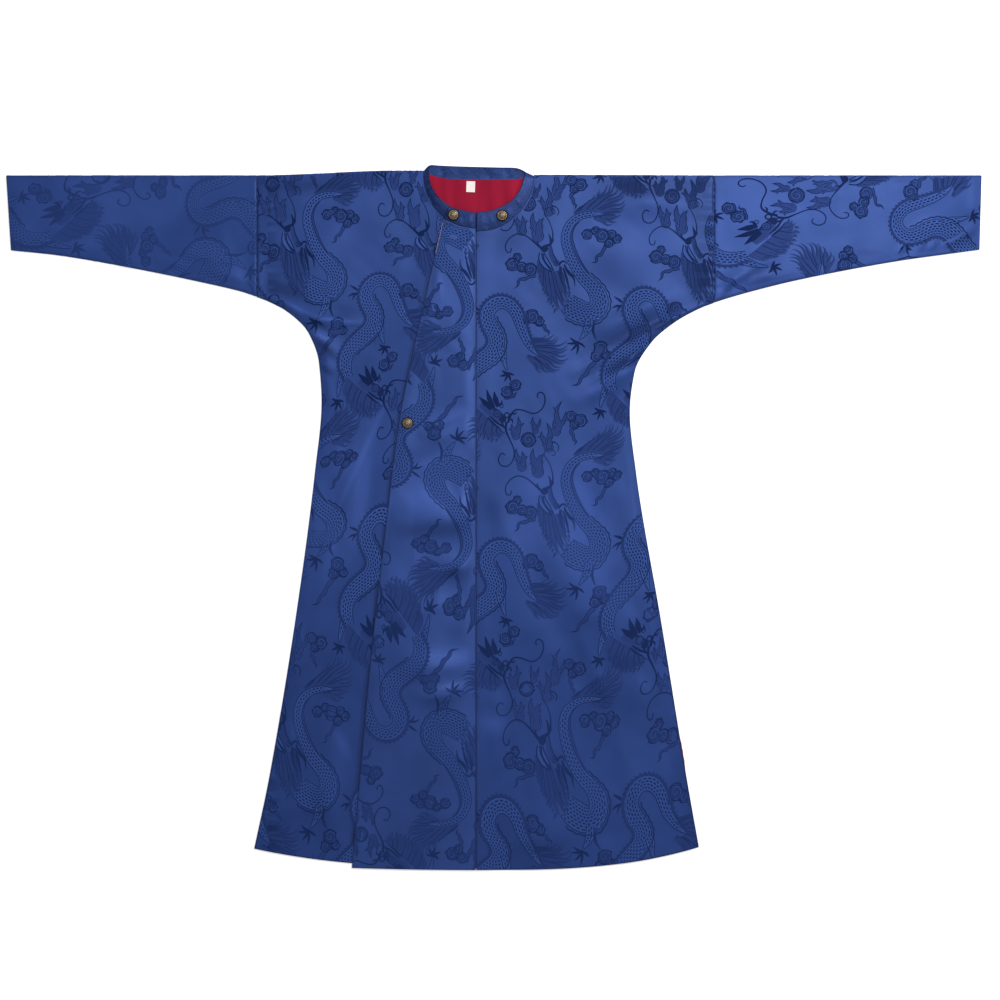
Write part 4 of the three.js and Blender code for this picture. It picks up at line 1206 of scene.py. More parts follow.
def rising_dragon():
    parts = scaly_body(
        [(106, 86), (96, 86.5), (84, 86), (64, 82), (47, 71), (38, 55), (36, 38), (41, 17), (52, -8),
         (68, -32), (86, -50), (97, -68), (98, -84), (88, -97), (72, -99), (54, -92), (38, -80)],
        [2, 6, 6.5, 7.5, 8.5, 9.5, 10, 10.5, 11, 12, 13.5, 16, 18, 19, 21, 22, 19],
        46, 1, (0.56, 0.97), (0.14, 0.58))
    parts += streaming_hair(
        [(52, 86), (70, 92), (92, 93), (106, 90), (104, 82), (88, 79)],
        [(68, 100), (90, 112), (118, 112), (128, 98), (122, 82), (104, 72)],
        [(86, 112), (112, 132), (142, 136), (150, 112), (142, 84), (122, 62)], 17, 6.2, 10, 1.3, 0.24)
    parts += streaming_hair(
        [(-15, 0), (-11, -8), (-2, -16), (8, -22), (20, -20), (26, -20)],
        [(-15, -18), (-8, -38), (6, -54), (20, -62), (30, -52), (32, -40)],
        [(-13, -34), (-3, -62), (14, -86), (28, -98), (40, -82), (38, -56)], 22, 6.0, 10, 1.8)
    parts += tufts([(-15, -4), (-15, -20), (-10, -38), (-3, -56), (6, -74), (16, -90)],
                   13, 11, -0.35, -0.94)
    parts += tufts([(40, -50), (41, -64), (38, -78), (32, -90)], 6, 9, 0.3, -0.95)
    parts += rising_face()
    parts.append(leg([(80, -108), (79, -122), (72, -136), (62, -149)], [6.5, 9.2, 5.5, 1.6]))
    parts += clawed_foot(58, -154, [(147, 17), (184, 20), (231, 20), (266, 23), (327, 17)])
    parts.append(brush([(88, -116), (87, -134), (94, -151)], 4.6, 0.33, 0.8, 0.1, tone=0.9))
    return parts


print("the rising dragon has", len(rising_dragon()), "strokes")

# %% [markdown]
# The second dragon arches its back and turns its head towards the pearl.

# %% The arching dragon
def arching_face():
    """Horns and ears behind, then brow, eye, two lobes of the snout and an open jaw."""
    return [
        band([(-122, -268), (-108, -280), (-94, -290), (-78, -298)], [7, 10, 10, 6], HAIR, 9, 0.33, 3, 0.3),
        band([(-103, -279), (-112, -270), (-126, -256)], [3.5, 5.0, 0.6], PLAIN, 7, 0.36),
        band([(-98, -276), (-106, -262), (-112, -242)], [3.0, 4.8, 0.5], PLAIN, 8, 0.37),
        band([(-90, -274), (-95, -262), (-98, -246)], [3.6, 5.2, 0.6], PLAIN, 7, 0.38),
        brush([(-90, -272), (-84, -268), (-84, -262)], 4.2),
        ring(-84, -273, 3.2, 1.3, 9, 0.40),
        disc(-92, -287, 7.2, 0.0, 7, 0.38),
        ring(-92, -287, 6.6, 1.5, 13, 0.41),
        ring(-92, -287, 2.8, 1.3, 9, 0.41),
        disc(-82, -298, 6.8, 0.9, 7, 0.39),
        ring(-74, -290, 4.6, 2.4, 11, 0.41),
        brush([(-110, -294), (-98, -307), (-86, -316)], 3.6, 0.33, 0.5, 0.3),
        band([(-106, -292), (-94, -303), (-80, -312)], [1, 2.2, 1.2], PALE, 7, 0.40),
        brush([(-84, -304), (-80, -312), (-76, -316)], 3.6),
        brush([(-66, -286), (-59, -288), (-55, -284)], 3.0),
        brush([(-69, -296), (-64, -300), (-63, -306)], 3.2),
        whisker([(-72, -304), (-67, -290), (-57, -280), (-44, -281), (-24, -287), (-10, -280), (-3, -265),
                 (-5, -251), (-12, -247), (-18, -252), (-15, -258)], 3.7, 30),
        whisker([(-75, -303), (-76, -318), (-68, -337), (-61, -355), (-62, -372), (-72, -385), (-85, -384),
                 (-90, -372), (-83, -361), (-77, -365)], 3.5, 30),
    ]


def arching_dragon():
    parts = scaly_body(
        [(-18, -176), (-26, -168), (-36, -152), (-44, -134), (-50, -116), (-58, -96), (-72, -82),
         (-89, -79), (-104, -88), (-111, -104), (-106, -122), (-97, -138), (-94, -156), (-102, -174),
         (-120, -188), (-138, -202), (-150, -220), (-152, -240), (-146, -260)],
        [2, 6.5, 8.5, 10, 11, 11.5, 12, 13, 14, 14.5, 15, 16, 16.5, 16.5, 16, 15, 14, 12, 9],
        52, -1, (0.46, 0.86))
    parts += streaming_hair(
        [(-38, -152), (-30, -158), (-20, -168), (-16, -176), (-24, -182), (-36, -178)],
        [(-20, -148), (-8, -158), (2, -168), (8, -182), (-4, -196), (-24, -194)],
        [(6, -144), (30, -152), (44, -172), (36, -196), (14, -214), (-14, -212)], 16, 6.2, 10, 1.3, 0.24)
    parts += streaming_hair(
        [(-146, -262), (-134, -274), (-120, -286), (-108, -298), (-98, -308), (-88, -316)],
        [(-154, -280), (-144, -300), (-128, -314), (-112, -322), (-98, -326), (-86, -322)],
        [(-152, -298), (-140, -320), (-120, -334), (-102, -338), (-86, -334), (-76, -326)], 18, 6.0, 9, 1.5)
    parts += tufts([(-152, -284), (-144, -304), (-130, -320), (-112, -332), (-94, -334)],
                   11, 9, -0.25, -0.97)
    parts += arching_face()
    parts.append(leg([(-88, -160), (-82, -176), (-78, -194), (-74, -206)], [6, 8.5, 4.5, 1.8]))
    parts += clawed_foot(-73, -212, [(150, 12), (200, 15), (248, 16), (292, 16), (345, 13)])
    parts.append(leg([(-152, -246), (-160, -262), (-166, -278), (-168, -290)], [6, 8, 4.5, 1.8]))
    parts += clawed_foot(-169, -296, [(150, 12), (205, 16), (252, 17), (296, 16), (345, 13)])
    parts += [brush([(-126, -94), (-134, -88), (-143, -82)], 4.2),
              brush([(-128, -100), (-138, -100), (-147, -104)], 4.0),
              brush([(-127, -97), (-134, -104), (-138, -112)], 3.4)]
    return parts


print("the arching dragon has", len(arching_dragon()), "strokes")

# %% [markdown]
# Between them hangs the pearl: a ball with a row of studs, wrapped in tongues of flame that rise from
# rounded bases like the fingers of a hand.

# %% Flaming pearl
def curl(x, y, radius, opening, way, lift):
    """A round lobe. Its map is turned and mirrored, so that the spiral in it opens as asked."""
    lobe = disc(x, y, radius * 1.04, 0.3, 17, lift, CURL, 0.11)
    dx, dy = lobe.grid[..., 0] - x, lobe.grid[..., 1] - y
    cos, sin = math.cos(opening), math.sin(opening)
    lobe.own_map = together(dx * cos + dy * sin, way * (dy * cos - dx * sin), CURL)
    lobe.tone = np.hypot(dx, dy)
    return lobe


def flame_hand(x, y, palm, tips):
    parts = [disc(x, y, palm, 0.3, 9, 0.29, EDGED)]
    halves = palm * np.array([0.6, 0.66, 0.56, 0.4, 0.1])
    for i, (tip_x, tip_y) in enumerate(tips):
        dx, dy, lean = tip_x - x, tip_y - y, 0.13 * (1 if i % 2 else -1)
        low = (x + 0.25 * dx, y + 0.25 * dy)
        high = (x + 0.62 * dx - lean * dy, y + 0.62 * dy + lean * dx)
        tongue = [(x, y), low, high, (tip_x, tip_y)]
        parts.append(band(tongue, halves, EDGED, 10, 0.30 + 0.01 * i, 2, 1.0, 1.0, 0.3 * i))
    return parts


def flaming_pearl(x=-34, y=-336):
    hands = [
        (-57, -328, 9, [(-72, -316), (-64, -306), (-54, -292), (-42, -304)]),
        (-21, -319, 7, [(-32, -303), (-24, -292), (-12, -295)]),
        (4, -350, 10, [(-17, -330), (-9, -320), (0, -304), (12, -328)]),
        (18, -320, 10, [(12, -274), (30, -263), (36, -282), (38, -298)]),
        (-46, -386, 10, [(-60, -374), (-56, -352), (-46, -358), (-36, -366)]),
        (-16, -396, 12, [(-32, -380), (-24, -352), (-14, -364), (-6, -362)]),
    ]
    parts = [part for hand in hands for part in flame_hand(*hand)]
    parts.append(whisker([(10, -340), (18, -342), (23, -350), (20, -358)], 2.6, 9))
    parts.append(curl(x, y, 13.5, 2.2, 1, 0.38))
    belt = [(x - 13, y - 1), (x - 6, y - 9), (x + 6, y - 8), (x + 13, y + 2)]
    parts.append(band(belt, [2.4, 3.4, 3.4, 2.4], EDGED, 11, 0.40))
    studs = flowing([(x - 12, y - 2), (x - 6, y - 9), (x + 6, y - 8), (x + 12, y + 1)], 6)
    parts += [disc(*stud, 1.3, 0.0, 4, 0.43) for stud in studs]
    parts.append(ring(x, y, 13.6, 1.6, 21, 0.42))
    return parts


print("the pearl has", len(flaming_pearl()), "strokes")

# %% [markdown]
# Around it all float the clouds. Each is a cluster of round lobes that curl inwards, with a stepped
# tail trailing from it. A lobe is its place, radius, opening and way round.

# %% Clouds: the lobes, then the line and the thickness of the tail
CLOUDS = [
    ([(76, 48, 10, 3.4, -1), (92, 55, 8, 2.0, 1), (132, 40, 9, 5.6, -1), (116, 32, 9, 5.2, 1),
      (122, 48, 9, 2.4, -1), (104, 46, 13, 1.0, 1)],
     [(110, 26), (104, 14), (97, 8), (91, -2), (84, -7)], 3.2),
    ([(-55, 5, 8.5, 2.4, 1), (-64, -8, 12.5, 1.8, 1), (-46, -13, 10, 2.2, -1), (-30, -17, 12, 0.6, 1)],
     [(-20, -28), (-32, -32), (-44, -35), (-52, -40), (-59, -56)], 3.2),
    ([(-36, -112, 8, 4.0, 1), (-14, -114, 9.5, 0.4, -1), (-27, -105, 13, 1.2, 1)],
     [(-20, -120), (-8, -122), (-2, -128), (6, -142)], 3.2),
    ([(-74, -247, 11, 3.6, 1), (-58, -234, 10.5, 0.9, -1)], [(-80, -258), (-66, -257), (-52, -246)], 2.6),
    ([(112, -178, 9, 0.6, -1), (93, -180, 10.5, 3.6, -1), (101, -164, 13, 2.4, 1)],
     [(92, -190), (80, -202), (72, -214), (58, -230), (46, -238)], 3.8),
    ([(52, -308, 9, 4.2, -1), (46, -292, 10, 1.6, 1), (64, -300, 12, 0.2, 1)],
     [(50, -314), (46, -322), (52, -334), (54, -348)], 3.2),
]


def cloud(lobes, tail, thick):
    parts = [curl(*lobe, lift=0.26 + 0.016 * i) for i, lobe in enumerate(lobes)]
    halves = thick * 1.4 * np.array([0.9, 1.0, 0.8, 1.0, 0.7, 0.8, 0.4, 0.12])
    parts.append(band(tail, halves, EDGED, 21, 0.25, 2, 2.6, 2.6, 0.2))
    spine = [lobe[:2] for lobe in lobes]
    parts.append(band(spine, [0.7 * lobe[2] for lobe in lobes], EDGED, 5 * len(lobes), 0.24))
    return parts


repeat = rising_dragon() + arching_dragon() + flaming_pearl()
repeat += [part for row in CLOUDS for part in cloud(*row)]
steps_in_repeat = sum((m.grid.shape[0] - 1) * (m.grid.shape[1] - 1) for m in repeat)
print("one repeat has", len(repeat), "strokes and", steps_in_repeat, "steps")

# %% [markdown]
# ## Where the figure may lie
# The figure stops at each panel's edge, because the cloth was cut through it. Each panel gives two
# rules: "limit" moves a point back onto the cloth if it lies past an edge, and "place" tells how high
# a point of the cloth lies and which way is out. A panel is measured flat, so the distance round the
# shoulder fold counts too.

# %% Rules for the halves of the body
ROUND = FOLD_R + FACE  # the cloth's right side, round a fold
EDGE_ROOM = 1.6  # the figure stops this far from an edge


def over_fold(y, crest, height):
    """Places on cloth that lies flat up to a fold whose outermost line is at "crest"."""
    start = crest - FOLD_R - CLOTH / 2
    bent = np.clip((y - start) / ROUND, 0, np.pi / 2)
    ny, nz = np.sin(bent), np.cos(bent)
    z = np.where(bent > 0, BACK_Z + FOLD_R + FOLD_R * nz, height)
    return np.minimum(y, start) + FOLD_R * ny, z, ny, nz


def fold_reach(crest):
    return crest - FOLD_R - CLOTH / 2 + ROUND * np.pi / 2 - 0.2


def body_panel(half, front):
    def limit(x, y):
        out = half.sign * x
        hem = row_y(half, LENGTH, np.clip(out, 0, half.hem_half)) + EDGE_ROOM + (0 if front else 1)
        y = np.clip(y, hem, fold_reach(slope_rise(half, out)))
        down = down_at(half, np.clip(out, 0, half.seam_out), y)
        end = np.where(down <= half.seam_drop, half.seam_out - 1.0, body_out(half, down) - EDGE_ROOM)
        if front:
            drop = half.neck_drop + NECK_GAP + 0.8
            neck = (half.neck_out + NECK_GAP + 0.8) * np.sqrt(np.clip(1 - (y / drop) ** 2, 0, 1))
            start = np.where(y > 0, half.neck_out + 2, np.maximum(neck, 1.0))
        else:
            start = np.where(y > -13, half.neck_out + 3, 1.0)
        if front and half is RIGHT:
            start = np.where(down > 70, np.maximum(start, overlap_edge(down) - 3), start)
        return half.sign * np.clip(out, start, np.maximum(start, end)), y

    def place(x, y):
        out = half.sign * x
        crest = slope_rise(half, out)
        below = np.minimum(y, crest - 2)
        down = down_at(half, out, below)
        if front:
            return x, *over_fold(y, crest, front_height(half, down, out, below))
        end = np.where(down <= half.seam_drop, half.seam_out, body_out(half, down))
        height = back_height(half, x, y, end)
        y, _, ny, nz = over_fold(y, crest, height)
        return x, y, np.where(ny > 0, BACK_Z + FOLD_R - FOLD_R * nz, height), ny, -nz

    return limit, place


print("the shoulder fold takes", round(ROUND * math.pi, 1), "mm of cloth")

# %% [markdown]
# The overlap isn't folded over anywhere, so its rules are short. A sleeve has two faces, and the height
# of the lower one is that of a flat upper one, mirrored at the middle of the tube.

# %% Rules for the overlap and the sleeves
def overlap_front():
    def limit(x, y):
        hem = overlap_row(LENGTH, np.clip(-x, 0, 232)) + EDGE_ROOM
        y = np.clip(y, hem, overlap_neck(x) - NECK_GAP - 1.4)
        return -np.clip(-x, 1.0, overlap_edge(-y) - EDGE_ROOM), y

    def place(x, y):
        return x, y, overlap_z(x, y, overlap_edge(-y)), 0, 1

    return limit, place


def sleeve_face(half, up):
    def limit(x, y):
        cuff = half.cuff_out - EDGE_ROOM
        out = np.clip(half.sign * x, half.seam_out + 1.0, cuff)
        y = np.clip(y, 1.2 - half.under_at(out), fold_reach(sleeve_top(half, out)))
        return half.sign * np.minimum(out, cuff - sleeve_skew(half, out, y)), y

    def place(x, y):
        out = half.sign * x
        crest = sleeve_top(half, out)
        foot = -half.under_at(out) + FOLD_R + CLOTH / 2
        height = sleeve_height(half, out, np.minimum(y, crest - 2)) if up > 0 else FOLD_R
        height = height * np.sqrt(1 - 0.92 * np.clip((foot - y) / FOLD_R, 0, 1) ** 2)
        y, z, ny, nz = over_fold(y, crest, BACK_Z + FOLD_R + height)
        return x, y, z if up > 0 else 2 * (BACK_Z + FOLD_R) - z, ny, up * nz

    return limit, place


print("the figure stops about", EDGE_ROOM, "mm from an edge")

# %% [markdown]
# ## Weave the figure into a panel
# Every stroke is moved to its place, cut off at the panel's edge and given a top, an underside that is
# sunk in the cloth, and walls. Then all strokes of a panel become one mesh. For its flat map, every
# stroke is unrolled to a strip, and the strips are laid side by side like pieces on a cutting table.

# %% Slabs and their flat map
def slab_faces(kept):
    rows, columns = kept.shape[0] + 1, kept.shape[1] + 1
    index = np.arange(rows * columns).reshape(rows, columns)
    a, b, c, d = index[:-1, :-1], index[:-1, 1:], index[1:, 1:], index[1:, :-1]
    under = rows * columns
    near = np.pad(kept, 1)
    sides = ((a, b, near[:-2, 1:-1]), (b, c, near[1:-1, 2:]),
             (c, d, near[2:, 1:-1]), (d, a, near[1:-1, :-2]))
    top = together(a, b, c, d)[kept]
    faces = [top, top[:, ::-1] + under]
    for p, q, covered in sides:
        free = kept & ~covered
        faces.append(together(q[free], p[free], p[free] + under, q[free] + under))
    return np.vstack(faces), len(top)


def pack_strips(strips, gap=1.6):
    """Lay the flat maps of all strokes side by side on shelves, and scale them to one square."""
    sizes = [np.ptp(strip, axis=0) + gap for strip in strips]
    wide = math.sqrt(sum(float(s[0] * s[1]) for s in sizes) * 1.15)
    x, y, shelf, laid = 0.0, 0.0, 0.0, [None] * len(strips)
    for i in sorted(range(len(strips)), key=lambda k: -sizes[k][1]):
        if x + sizes[i][0] > wide and x > 0:
            x, y, shelf = 0.0, y + shelf, 0.0
        laid[i] = strips[i] - strips[i].min(axis=0) + [x + gap / 2, y + gap / 2]
        x, shelf = x + sizes[i][0], max(shelf, sizes[i][1])
    return np.vstack(laid) / max(max(float(l.max()) for l in laid), wide) * 0.998 + 0.001


print("a slab of two steps has", len(slab_faces(np.ones((2, 1), bool))[0]), "faces")

# %% [markdown]
# Cloth is pulled out of true when it is worn and pressed, and the figure with it. A drag table tells
# how far, and is read along x or along y. No two strokes that cross may end at exactly the same
# height, since their tops would flicker into one another, so each gets a hair's breadth of its own.

# %% Weave the strokes into a panel
SUNK = 0.22  # the underside of a stroke, below the cloth's right side
NOT_DRAGGED = ((0, 0, 0, 0), (1, 0, 0, 0))


def weave(name, panel, places, drag=NOT_DRAGGED, by=1, start=-235.0, least=-999.0):
    """Lay the repeat on a panel at some places. Columns of drag: where (along x if by is 0, along y if
    it is 1), how far across, how far up, and how much more it rises per millimetre right of the start."""
    limit, place = panel
    at_drag, across, up, tilt = np.array(drag, float).T
    points, faces, tones, own_maps, strips, first = [], [], [], [], [], 0
    for copy, (x0, y0, turn, stretch, narrow) in enumerate(places):
        cos, sin = math.cos(turn), math.sin(turn)
        for number, stroke in enumerate(repeat):
            gx, gy = stroke.grid[..., 0] * narrow, stroke.grid[..., 1] * stretch
            x, y = x0 + gx * cos - gy * sin, y0 + gx * sin + gy * cos
            at = (x, y)[by]
            y = y + np.interp(at, at_drag, up) + np.interp(at, at_drag, tilt) * np.maximum(x - start, least)
            x = x + np.interp(at, at_drag, across)
            cut_x, cut_y = limit(x, y)
            inside = (abs(cut_x - x) < 1e-6) & (abs(cut_y - y) < 1e-6)
            if not inside.any():
                continue
            kept = inside[:-1, :-1] | inside[:-1, 1:] | inside[1:, :-1] | inside[1:, 1:]
            px, py, pz, ny, nz = place(cut_x, cut_y)
            middle, normal = together(px, py, pz).reshape(-1, 3), together(0 * px, ny, nz).reshape(-1, 3)
            made, tops = slab_faces(kept)
            own_height = 0.0015 * ((number + 2 * copy) % 5)
            top = middle + normal * (FACE + stroke.lift + own_height)
            corner = top[made[:tops]]
            facing = np.cross(corner[:, 1] - corner[:, 0], corner[:, 3] - corner[:, 0])
            if (facing * normal[made[:tops, 0]]).sum() < 0:
                made = made[:, ::-1]
            points += [top, middle + normal * (FACE - SUNK)]
            faces.append(made + first)
            first += 2 * len(top)
            tones += [stroke.tone.reshape(-1)] * 2
            own_maps += [stroke.own_map.reshape(-1, 3)] * 2
            strips.append(np.vstack([stroke.flat.reshape(-1, 2)] * 2))
    used, faces = np.unique(np.vstack(faces), return_inverse=True)
    points = np.vstack(points)[used]
    mesh = mesh_of(name, points, faces.reshape(-1, 4).tolist(), False)
    keep_flat_map(mesh, pack_strips(strips)[used])
    keep_value(mesh, "Tone", np.concatenate(tones)[used])
    # The figure takes the same painted sheen and shade as the cloth under it.
    keep_value(mesh, "PaintedSheen", painted_sheen_at(points[:, 0], points[:, 1]))
    keep_value(mesh, "OwnMap", np.vstack(own_maps)[used], "FLOAT_VECTOR")
    mesh.update()
    print(name, "has", 2 * len(mesh.polygons), "triangles")
    return linked(name, mesh)


print("strokes are sunk", SUNK, "mm into the cloth")

# %% [markdown]
# The repeat is 269 mm wide and about 441 mm high. The weaver's pattern runs up both halves. On the
# overlap it is upside down, since that panel was cut from the other end of the cloth, and on the
# sleeves it lies on its side. Each row gives the middle of a rising dragon's head, then the columns and
# rows of repeats round it.

# %% Weave all panels
STEP_X, STEP_Y = 269.0, 441.0
TURNED = math.pi / 2
UPRIGHT = ((-1, 0, 1), (-1, 0, 1, 2))
ON_SLEEVE = ((-1, 0), (-1, 0, 1), TURNED)


def rows_of(first_x, first_y, columns, rows, turn, slip=0.0, stretch=1.0, growth=1.03, narrow=1.0,
            last=(0, 0, 1)):
    """Places of the repeat: columns go sideways and rows go down, where the cloth has given a little."""
    cos, sin = math.cos(turn), math.sin(turn)
    found = []
    for c in columns:
        for r in rows:
            given = growth if r > 0 else 1.0
            dx, dy = c * STEP_X * narrow, -r * STEP_Y * given * stretch + c * slip
            more_x, more_y, more = last if r == rows[-1] else (0, 0, 1)
            found.append((first_x + dx * cos - dy * sin + more_x, first_y + dx * sin + dy * cos + more_y,
                          turn, stretch * given * more, narrow))
    return found


PANELS = {
    "front_left": (
        body_panel(LEFT, True), rows_of(132, -159, *UPRIGHT, 0, 14),
        ((-1290, 6, -45, 0.3), (-1229, 8, -39, 0.3), (-1190, 2, -41, 0.3), (-1136, -2, -27, 0.3),
         (-1085, -4, -22, 0.3), (-1054, -4, -14, 0.3), (-1013, -4, 0, 0.3), (-959, -3, -2, 0.32),
         (-860, -3, 0, 0.36), (-640, 0, 0, 0.42), (-520, 0, 0, 0.3), (-430, 0, 0, 0)), 1, 235.0, 0.0),
    "front_right": (
        body_panel(RIGHT, True),
        rows_of(-99, -132, (-2, -1, 0, 1), (-1, 0, 1, 2), 0, -10, narrow=0.93, last=(-18, -34, 1.06)),
        ((-1400, 0, 4, 0), (-900, 0, 10, 0), (-730, -4, 18, 0), (-650, -5, 9, 0.45), (-500, -2, 4, 0.3),
         (-380, -4, 14, 0.15), (-200, -4, 7, 0.12), (-110, 0, 0, 0))),
    "overlap": (
        overlap_front(), rows_of(26, -642, (-1, 0, 1), (-2, -1, 0, 1, 2), math.pi, growth=1.0),
        ((-1250, -6, -45, 0), (-1100, -8, -44, 0), (-950, -10, -38, 0), (-816, -14, -38, 0),
         (-744, -8, -8, 0), (-600, -3, -6, 0))),
    "sleeve_left": (
        sleeve_face(LEFT, 1), rows_of(693, -4, *ON_SLEEVE, 27, 1.09),
        ((440, 0, 0, 0), (535, 20, 0, 0), (620, 22, 0, 0), (718, 18, 0, 0), (806, 4, 0, 0),
         (870, 4, 0, 0)), 0),
    "sleeve_right": (
        sleeve_face(RIGHT, 1), rows_of(-607, 32, *ON_SLEEVE, 27, 1.09),
        ((-850, 6, 0, 0), (-688, 24, 0, 0), (-615, 12, 0, 0), (-503, -12, 0, 0), (-390, -12, 0, 0)), 0),
    "back_left": (body_panel(LEFT, False), rows_of(150, -120, *UPRIGHT, 0, 8)),
    "back_right": (body_panel(RIGHT, False), rows_of(-119, -128, *UPRIGHT, 0, 8)),
    "sleeve_left_back": (sleeve_face(LEFT, -1), rows_of(640, -20, *ON_SLEEVE)),
    "sleeve_right_back": (sleeve_face(RIGHT, -1), rows_of(-640, 12, *ON_SLEEVE)),
}
woven = {part: weave(f"figure_{part}", *row) for part, row in PANELS.items()}

# %% [markdown]
# ## Finishes
# Every finish is a small graph of shader nodes. This class keeps the graphs short: it makes a material
# with its shader, adds a node in one line, and has a short word for each step that comes back often.
# "ramp" turns a range of one number into a range of another, and "blend" goes from one colour to the
# next. All patterns read the object's own coordinates, so they stay put on the cloth.

# %% A graph for one finish
class Finish:
    def __init__(self, name, **values):
        self.material = bpy.data.materials.new(name)
        self.material.use_nodes = True
        self.tree = self.material.node_tree
        self.shader = self.tree.nodes["Principled BSDF"]
        for socket, value in values.items():
            self.shader.inputs[socket.replace("_", " ")].default_value = value
        self.place = self.add("TexCoord").outputs["Object"]

    def add(self, kind, joins=None, values=None, **settings):
        made = self.tree.nodes.new("ShaderNode" + kind)
        for key, value in settings.items():
            setattr(made, key, value)
        for socket, value in {**(values or {}), **(joins or {})}.items():
            if hasattr(value, "links"):
                self.tree.links.new(value, made.inputs[socket])
            else:
                made.inputs[socket].default_value = value
        return made

    def math(self, operation, a, b=0.0):
        return self.add("Math", {0: a, 1: b}, operation=operation).outputs[0]

    def times(self, a, b):
        return self.math("MULTIPLY", a, b)

    def plus(self, a, b):
        return self.math("ADD", a, b)

    def minus(self, a, b):
        return self.math("SUBTRACT", a, b)

    def size_of(self, a):
        return self.math("ABSOLUTE", a)

    def ramp(self, value, low, high, top=1.0, bottom=0.0):
        limits = {"From Min": low, "From Max": high, "To Min": bottom, "To Max": top}
        return self.add("MapRange", {"Value": value}, limits).outputs[0]

    def blend(self, share, a, b):
        return self.add("Mix", {0: share, 6: a, 7: b}, data_type="RGBA").outputs[2]

    def moved(self, place, **how):
        return self.add("Mapping", {"Vector": place}, how).outputs[0]

    def noise(self, place, scale, detail=2.0, distortion=0.0):
        sizes = {"Scale": scale, "Detail": detail, "Distortion": distortion}
        return self.add("TexNoise", {"Vector": place}, sizes).outputs[0]

    def wave(self, place, scale, distortion, direction="X", detail=2.0):
        sizes = {"Scale": scale, "Distortion": distortion, "Detail": detail}
        return self.add("TexWave", {"Vector": place}, sizes, bands_direction=direction).outputs["Fac"]

    def carried(self, name, output="Fac"):
        return self.add("Attribute", attribute_name=name).outputs[output]

    def end(self, base, relief=None, strength=0.1, rough=None):
        """Join the colour, the relief of the weave and the roughness to the shader."""
        self.tree.links.new(base, self.shader.inputs["Base Color"])
        if rough is not None:
            self.tree.links.new(rough, self.shader.inputs["Roughness"])
        if relief is not None:
            bump = self.add("Bump", {"Height": relief}, {"Strength": strength, "Distance": 0.0002})
            self.tree.links.new(bump.outputs[0], self.shader.inputs["Normal"])
        return self.material


def colour(red, green, blue, times=1.0):
    return (red * times, green * times, blue * times, 1.0)


BLUE_GLEAM = colour(0.22, 0.36, 1.0)  # satin reflects in its own colour
print("the finish class is ready")

# %% [markdown]
# ## Painted sheen and shade on the cloth
# Each satin finish ends with the painted sheen and shade that the cloth carries: painted shade towards a deep
# blue where it is below zero and painted sheen towards a bright one where it is above. Beside the sleeve
# seams the cloth is drawn into gathers that run along the sleeve, too fine to model, so a stretched noise
# paints their light and shade there.

# %% Painted sheen, shade and gathers
# Painted light and shade of the gathers: where they start, where the seam is (metres from the middle) and
# their strength.
PAINTED_GATHERS = [(0.402, 0.4455, 1.7), (-0.362, -0.3895, 0.8)]
MIDDLE_X, MIDDLE_Y = float(origin[0]), float(origin[1])


def with_painted_sheen(finish, shade, painted_light_level, most=1.0):
    """Paint sheen and shade into a colour. "most" is how far the painted sheen may go towards the bright
    blue.
    """
    sheen = finish.carried("PaintedSheen")
    across = finish.add("SeparateXYZ", {"Vector": finish.place}).outputs["X"]
    # A stretched noise paints the light and shade of the gathers.
    gather = finish.noise(finish.moved(finish.place, Scale=(9, 92, 9)), 1.0, 0.0)
    gather = finish.ramp(gather, 0.36, 0.64, 0.35, -1.0)
    for start, seam, strength in PAINTED_GATHERS:
        near = finish.ramp(across, MIDDLE_X + start, MIDDLE_X + seam, strength)
        outward_x = finish.times(across, math.copysign(1, seam))
        near = finish.times(near, finish.math("LESS_THAN", outward_x, abs(MIDDLE_X + seam)))
        sheen = finish.plus(sheen, finish.times(near, gather))
    # Below zero paints shade towards a deep blue, above zero paints sheen towards a bright blue.
    dark = finish.ramp(sheen, 0.0, -1.0, 0.66)
    light = finish.ramp(sheen, 0.0, 1.61, most)
    shade = finish.blend(dark, shade, colour(0.0055, 0.0140, 0.064, painted_light_level))
    return finish.blend(light, shade, colour(0.040, 0.082, 0.305, painted_light_level))


print("gathers beside", len(PAINTED_GATHERS), "seams")
